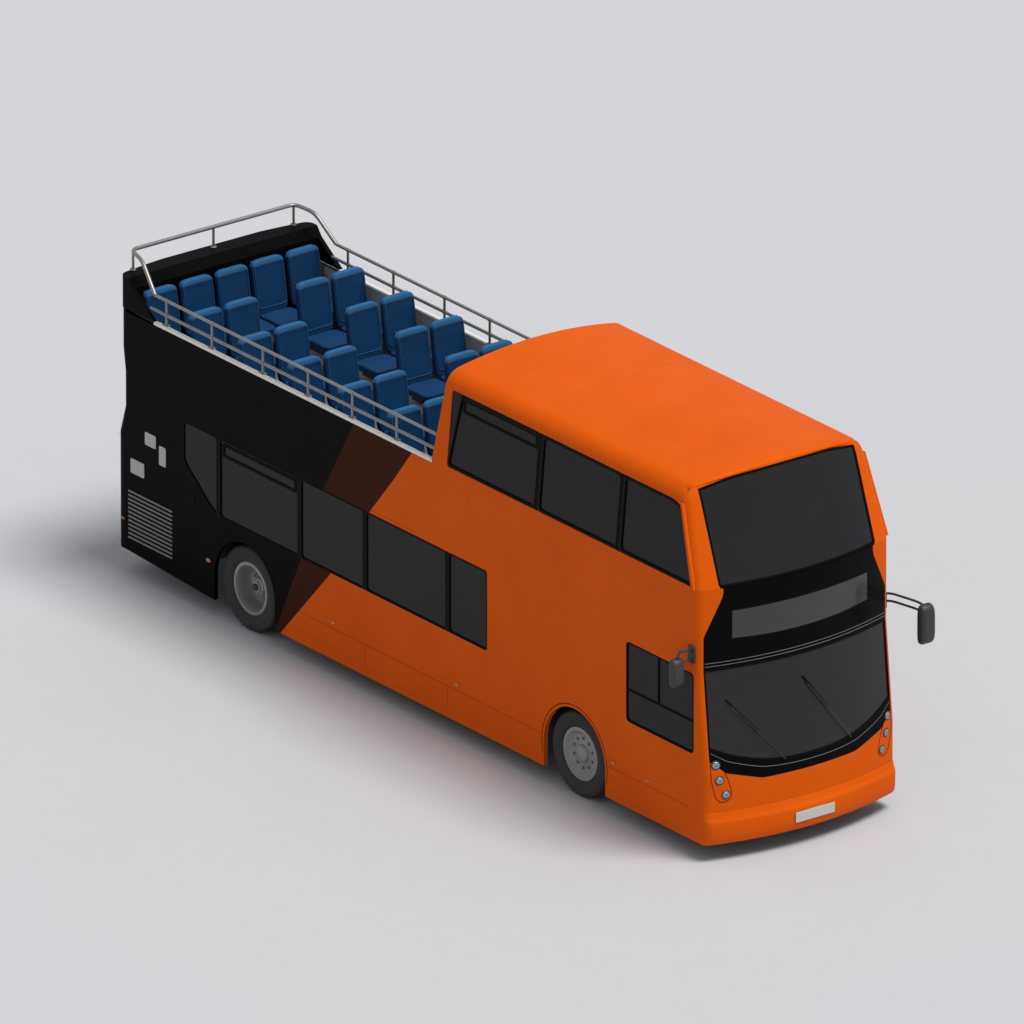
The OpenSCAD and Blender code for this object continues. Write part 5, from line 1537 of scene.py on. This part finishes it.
@dataclass
class Windows:
    """Frames, rubbers, hoppers and bars of the side windows."""

    low_z: tuple[float, float] = (1.18, 2.10)
    high_z: tuple[float, float] = (3.08, 3.94)
    low_posts: tuple[float, ...] = (-3.54, -2.09, -0.93, 0.535)
    high_posts: tuple[float, ...] = (2.10, 3.53)
    post_half: float = 0.030
    edge: float = -4.175

    def leaning(self, side: float, proud: float = 0.0) -> Callable[[Array], Array]:
        """Places (x, z, height) on the covered deck's leaning side."""
        return lambda p: np.column_stack([p[:, 0], side * (SHAPE.side_y(p[:, 1]) + p[:, 2] + proud),
                                          p[:, 1]])

    def band(self, outline: Array, width: float, place: Callable[[Array], Array], high: float) -> Form:
        """A raised flat border that follows an outline, `width` wide inwards and `high` proud.

        Four rings run up the outside, over a small bevel, across and down to the pane.
        """
        middle = (outline.max(0) + outline.min(0)) / 2
        half = (outline.max(0) - outline.min(0)) / 2
        near = middle + (outline - middle) * (1 - 0.002 / half)
        far = middle + (outline - middle) * (1 - (width - 0.002) / half)
        last = middle + (outline - middle) * (1 - width / half)
        rings = [(outline, -0.004), (outline, high * 0.5), (near, high), (far, high), (last, high * 0.5),
                 (last, -0.009)]
        grid = np.stack([place(np.column_stack([o, np.full(len(o), h)])) for o, h in rings])
        return sheet(grid, wrap_u=True, wrap_v=True)

    def dense(self, corners: Sequence[tuple[float, float]], radius: float, gap: float = 0.06) -> Array:
        """A closed outline with rounded corners and points no further apart than the gap."""
        pts = np.array([*corners, corners[0]], float)
        loop = rounded_path(np.vstack([(pts[0] + pts[1]) / 2, pts[1:], (pts[0] + pts[1]) / 2]), radius, 5)
        return np.concatenate([
            np.linspace(a, b, max(2, int(np.hypot(*(b - a)) / gap) + 1))[:-1] for a, b in zip(loop[:-1],
                                                                                              loop[1:])
        ])

    def first_pane(self) -> list[tuple[float, float]]:
        """Corners of the rearmost lower pane, which is cut away at its lower rear."""
        x0, (low, top) = self.edge, self.low_z
        return [(x0, top), (x0, 1.66), (x0 + 0.06, 1.58), (x0 + 0.215, 1.465), (x0 + 0.48, 1.255),
                (-3.558, low + 0.01), (-3.558, top)]

    def panes(self, side: float) -> list[tuple[list[tuple[float, float]], float]]:
        """Each lower pane's corners and corner radius on one side."""
        low, top = self.low_z
        posts = [*self.low_posts]
        spans = [(posts[k] + 0.018, posts[k + 1] - 0.018) for k in range(3)] + [(posts[3] + 0.018, 1.235)]
        out = [(self.first_pane(), 0.03)]
        out += [([(a, low), (b, low), (b, top), (a, top)], 0.04) for a, b in spans]
        if side < 0:
            out.append(([(3.68, low), (4.86, low), (4.86, top), (3.68, top)], 0.06))
        return out

    def high_panes(self) -> list[tuple[list[tuple[float, float]], float]]:
        """Each upper pane's corners on the leaning sides, the first one raked, the last one cut."""
        low, top = self.high_z
        a, b = self.high_posts
        return [([(0.5215, low), (a - 0.018, low), (a - 0.018, top), (0.68, top)], 0.05),
                ([(a + 0.018, low), (b - 0.018, low), (b - 0.018, top), (a + 0.018, top)], 0.05),
                ([(b + 0.018, low), (4.82, low), (4.67, 3.64), (4.55, 3.90), (4.40, top), (b + 0.018, top)],
                 0.05)]

    def bar(self, x0: float, x1: float, z: float, place: Callable[[Array], Array],
            tall: float = 0.03) -> Form:
        """A straight bar lying over a pane."""
        return plate(round_rect(x0, x1, z - tall / 2, z + tall / 2, 0.006), place, 0.010, 0.003)

    def build(self) -> None:
        """Builds the borders and bars on both sides, and the black frame of the covered deck."""
        rubbers, bars, frames = [], [], []
        for side in (LEFT, RIGHT):
            flat, lean = on_flank(side), self.leaning(side)
            for corners, radius in self.panes(side):
                rubbers.append(self.band(self.dense(corners, radius), 0.020, flat, 0.0022))
            for corners, radius in self.high_panes():
                frames.append(self.band(self.dense(corners, radius), 0.038, lean, 0.0022))
            glass = on_flank(side, SHAPE.half_w - 0.0105)
            high = self.leaning(side, -0.0105)
            for x0, x1, place, z0, z1 in ((-3.47, -2.16, glass, 1.90, 2.06),
                                          (0.72, 2.03, high, 3.74, 3.905)):
                bars.append(self.band(self.dense([(x0, z0), (x1, z0), (x1, z1), (x0, z1)], 0.02), 0.034,
                                      place, 0.010))
            if side < 0:
                bars += [self.bar(3.705, 4.835, 1.55, glass, 0.026),
                         plate(round_rect(4.226, 4.254, 1.555, 2.085, 0.006), glass, 0.010, 0.003)]
            for posts, (low, top), place in ((self.high_posts, self.high_z, lean),
                                             (self.low_posts, self.low_z, flat)):
                frames += [plate(round_rect(x - self.post_half, x + self.post_half, low, top, 0.004), place,
                                 0.002,
                                 0.0008) for x in posts]
        made("window_rubbers", joined(rubbers), RUBBER)
        made("window_bars", joined(bars), RUBBER)
        made("window_frames", joined(frames), MASK)


@dataclass
class RearEnd:
    """The smooth wrapped tail: upper wall, corners, engine lid with slats, and lamps."""

    open_half: float = 0.956
    lid_half: float = 0.95
    wall_z: tuple[float, float] = (1.61, 3.0645)
    corner_z: tuple[float, float] = (0.27, 1.5995)
    lid_z: tuple[float, float] = (0.566, 1.59)
    seam_x: float = -5.2005

    def wrapped(self, z: Array, reach: float, proud: float) -> Array:
        """A grid over the tail at heights z, from one side's seam round the back to the other's.

        Across the back x comes from the rear curve; the last points run forwards along each side.
        """
        across = np.concatenate([-np.cos(np.linspace(0, math.pi, 61))]) * (SHAPE.half_w - 0.0002)
        y, zz = np.meshgrid(across, z, indexing="ij")
        x = SHAPE.rear(y, zz) - proud
        middle = np.stack([x, y, zz], -1)
        ends = []
        for side in (-1, 1):
            steps = np.linspace(0, 1, 7)[1:] if side > 0 else np.linspace(1, 0, 7)[:-1]
            start = SHAPE.rear(np.full_like(z, side * SHAPE.half_w), z) - proud * 0.2
            ex = start + (reach - start) * steps[:, None]
            ends.append(spaced(ex, side * (SHAPE.half_w + 0.0006), z))
        return np.concatenate([ends[0], middle, ends[1]])

    def skins(self) -> None:
        """The wall's and the corners' outer faces as single smooth sheets."""
        levels = np.linspace(self.wall_z[0] + 0.001, self.wall_z[1] - 0.0005, 30)
        made("rear_wall_skin", shell(self.wrapped(levels, self.seam_x + 0.0004, 0.0008), 0.0012), BLACK)
        grid = self.wrapped(np.linspace(self.corner_z[0] + 0.001, self.corner_z[1] - 0.001, 28),
                            self.seam_x + 0.0004, 0.0008)
        flat = grid[:, 0, 1]
        keep = [np.flatnonzero(flat < -self.open_half), np.flatnonzero(flat > self.open_half)]
        made("rear_corner_skins", joined([shell(grid[k], 0.0012) for k in keep]), BLACK)

    def strip(self, span: float, z: float, tall: float, high: float) -> Form:
        """A bar lying across the bowed tail: a bevelled section carried at many places along y."""
        section = np.array([(-tall / 2, -0.002), (-tall / 2, high * 0.4), (-tall / 2 + high * 0.6, high),
                            (tall / 2 - high * 0.6, high), (tall / 2, high * 0.4), (tall / 2, -0.002)])
        y = np.linspace(-span, span, 41)
        yy, dz = np.meshgrid(y, section[:, 0], indexing="ij")
        x = SHAPE.rear(yy, z + dz) - section[:, 1]
        return capped(np.stack([x, yy, z + dz], -1))

    def lid_dress(self) -> None:
        """A raised border, a field of slats, a handle, latches and a blank plate on the lid."""
        y, z0, z1 = self.lid_half - 0.02, self.lid_z[0] + 0.02, self.lid_z[1] - 0.03
        slats = [self.strip(0.62, 0.70 + k * 0.028, 0.018, 0.008) for k in range(15)]
        made("lid_slats", joined(slats), RUBBER, Body.LID)
        win = Windows()
        border = win.band(win.dense([(-y, z0), (y, z0), (y, z1), (-y, z1)], 0.05), 0.030, on_rear(0.0),
                          0.0035)
        field_edge = win.band(win.dense([(-0.68, 0.665), (0.68, 0.665), (0.68, 1.13), (-0.68, 1.13)], 0.04),
                              0.018,
                              on_rear(0.0), 0.005)
        made("lid_borders", joined([border, field_edge]), BLACK, Body.LID)
        latches = [plate(ring(0.020, 20) + [v, 1.2175], on_rear(0.0005), 0.006, 0.003) for v in (-0.78,
                                                                                                 0.78)]
        made("lid_handle", joined([self.strip(0.13, 1.2175, 0.034, 0.008), *latches]), PLASTIC, Body.LID)
        made("rear_blank_plate", self.strip(0.26, 1.345, 0.11, 0.004), BLANK, Body.LID)

    def lamps(self) -> None:
        """Round tail lamps in rubber bezels, a top pair of markers and low reflectors."""
        lenses, bezels, ambers = [], [], []
        for side in (LEFT, RIGHT):
            for k, z in enumerate((0.82, 1.0, 1.18)):
                middle = np.array([side * 1.045, z])
                lenses.append(plate(middle + ring(0.0455, 32), on_rear(0.0), 0.012,
                                    0.006)) if k != 1 else ambers.append(
                    plate(middle + ring(0.0455, 32), on_rear(0.0), 0.012, 0.006))
                bezels.append(plate(middle + ring(0.056, 32), on_rear(0.0), 0.007, 0.003))
            lenses.append(plate(round_rect(side * 1.05 - 0.05, side * 1.05 + 0.05, 0.40, 0.425, 0.008),
                                on_rear(0.0008), 0.004, 0.0015))
            ambers.append(plate(round_rect(side * 1.08 - 0.035, side * 1.08 + 0.035, 2.93, 2.96, 0.01),
                                on_rear(0.0008), 0.005, 0.002))
        lenses.append(plate(round_rect(-0.14, 0.14, 2.95, 2.975, 0.01), on_rear(0.0008), 0.005, 0.002))
        made("tail_lamp_lenses", joined(lenses), RED, replaces=("tail_lamps",))
        made("tail_lamp_bezels", joined(bezels), RUBBER)
        made("tail_ambers", joined(ambers), AMBER)

    def build(self) -> None:
        """Builds the tail."""
        self.skins()
        self.lid_dress()
        self.lamps()


@dataclass
class SideDetails:
    """Panel seams, slats, flaps, latches and markers on the sides, door rubbers and cover strips."""

    arch_r: float = 0.5745
    axle_z: float = 0.48
    seam_half: float = 0.0014

    def seam(self, points: Sequence[tuple[float, float]], side: float, y: float | None = None) -> Form:
        """A thin dark line along a path on the side: a flat strip a few millimetres wide."""
        pts = np.array(points, float)
        place = on_flank(side, (SHAPE.half_w if y is None else y) + 0.0002)
        forms = []
        for a, b in zip(pts[:-1], pts[1:]):
            along = (b - a) / np.hypot(*(b - a))
            across = np.array([-along[1], along[0]]) * self.seam_half
            forms.append(plate(np.array([a - across, b - across, b + across, a + across]), place, 0.0006,
                               0.0001))
        return joined(forms)

    def panels(self) -> None:
        """The seams between body panels on both sides."""
        forms = []
        for side in (LEFT, RIGHT):
            lines = [[(-5.36, 1.57), (-4.866, 1.567), (-4.333, 1.203), (-4.227, 1.197)],
                     [(-4.23, 0.36), (-4.23, 1.197)],
                     [(-5.36, 0.355), (-4.23, 0.355)], [(-4.21, 0.56), (-3.66, 0.56)],
                     [(-2.49, 0.55), (2.19, 0.55)],
                     [(-5.19, 2.14), (0.0, 2.14)], [(-0.93, 0.30), (-0.93, 0.55)],
                     [(0.535, 0.30), (0.535, 0.55)]]
            if side < 0:
                lines += [[(3.36, 0.55), (4.77, 0.55)]]
            else:
                lines += [[(3.36, 0.30), (3.36, 0.55)]]
            forms += [self.seam(line, side) for line in lines]
        made("panel_seams", joined(forms), RUBBER)

    def fittings(self) -> None:
        """Grey flaps and slats at the tail, the service door's latch, amber ovals and reflectors."""
        flaps, slats, ambers, latches, reds = [], [], [], [], []
        for side in (LEFT, RIGHT):
            place = on_flank(side, SHAPE.half_w + 0.0004)
            for x, z, w, h in ((-4.76, 1.674, 0.195, 0.15), (-4.544, 1.555, 0.12, 0.225),
                               (-4.995, 1.276, 0.243, 0.17)):
                flaps.append(plate(round_rect(x - w / 2, x + w / 2, z - h / 2, z + h / 2, 0.018), place,
                                   0.005, 0.002))
            for k in range(12):
                z = 0.43 + k * 0.049
                slats.append(plate(round_rect(-5.16, -4.37, z - 0.012, z + 0.012, 0.008), place, 0.009,
                                   0.005))
            latches.append(plate(round_rect(-4.095, -3.965, 1.201, 1.311, 0.012), place, 0.004, 0.0015))
            latches += [plate(ring(0.014, 16) + [x, z], place, 0.004, 0.0015) for x, z in ((-4.17, 0.74),
                                                                                           (-3.66, 0.74),
                                                                                           (-4.17, 1.10),
                                                                                       (-3.66, 1.10))]
            for x in (-3.72, -1.49, 0.71, 3.46):
                ambers.append(plate(ring(0.040, 24, 0.55) + [x, 0.62], place, 0.010, 0.004))
            reds.append(plate(round_rect(-5.30, -5.23, 0.60, 0.63, 0.01),
                              on_flank(side, SHAPE.half_w + 0.0006), 0.005, 0.002))
        ambers.append(plate(round_rect(4.02, 4.10, 0.595, 0.625, 0.01),
                            on_flank(RIGHT, SHAPE.half_w + 0.0004), 0.005, 0.002))
        made("side_flaps", joined(flaps), PLAQUE)
        made("side_slats", joined(slats), SLATS)
        made("side_latches", joined(latches), RUBBER)
        made("side_ambers", joined(ambers), AMBER)
        made("side_reflectors", joined(reds), RED)

    def arches(self) -> None:
        """A rolled lip round each wheel opening."""
        forms = []
        for side in (LEFT, RIGHT):
            for x in (SHAPE.front_axle_x, SHAPE.rear_axle_x):
                turn = np.linspace(math.radians(-14), math.radians(194), 60)
                path = spaced(x + self.arch_r * np.cos(turn), side * (SHAPE.half_w - 0.003),
                              self.axle_z + self.arch_r * np.sin(turn))
                forms.append(carried(ring(0.006, 8), path, (0, 1, 0)))
        made("arch_lips", joined(forms), RUBBER)

    def build(self) -> None:
        """Builds the side details."""
        self.panels()
        self.fittings()
        self.arches()


def main() -> None:
    """Loads the frame and builds each sub-assembly in order."""
    logging.basicConfig(level=logging.INFO, format="%(name)s: %(message)s")
    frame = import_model()
    Studio().build()
    FrameDressing().dress(frame["nodes"])
    FrontEnd().build()
    Wheels().build()
    Seating().build()
    DeckEdge().build()
    Mirrors().build()
    Windows().build()
    RearEnd().build()
    SideDetails().build()


if __name__ == "__main__":
    main()
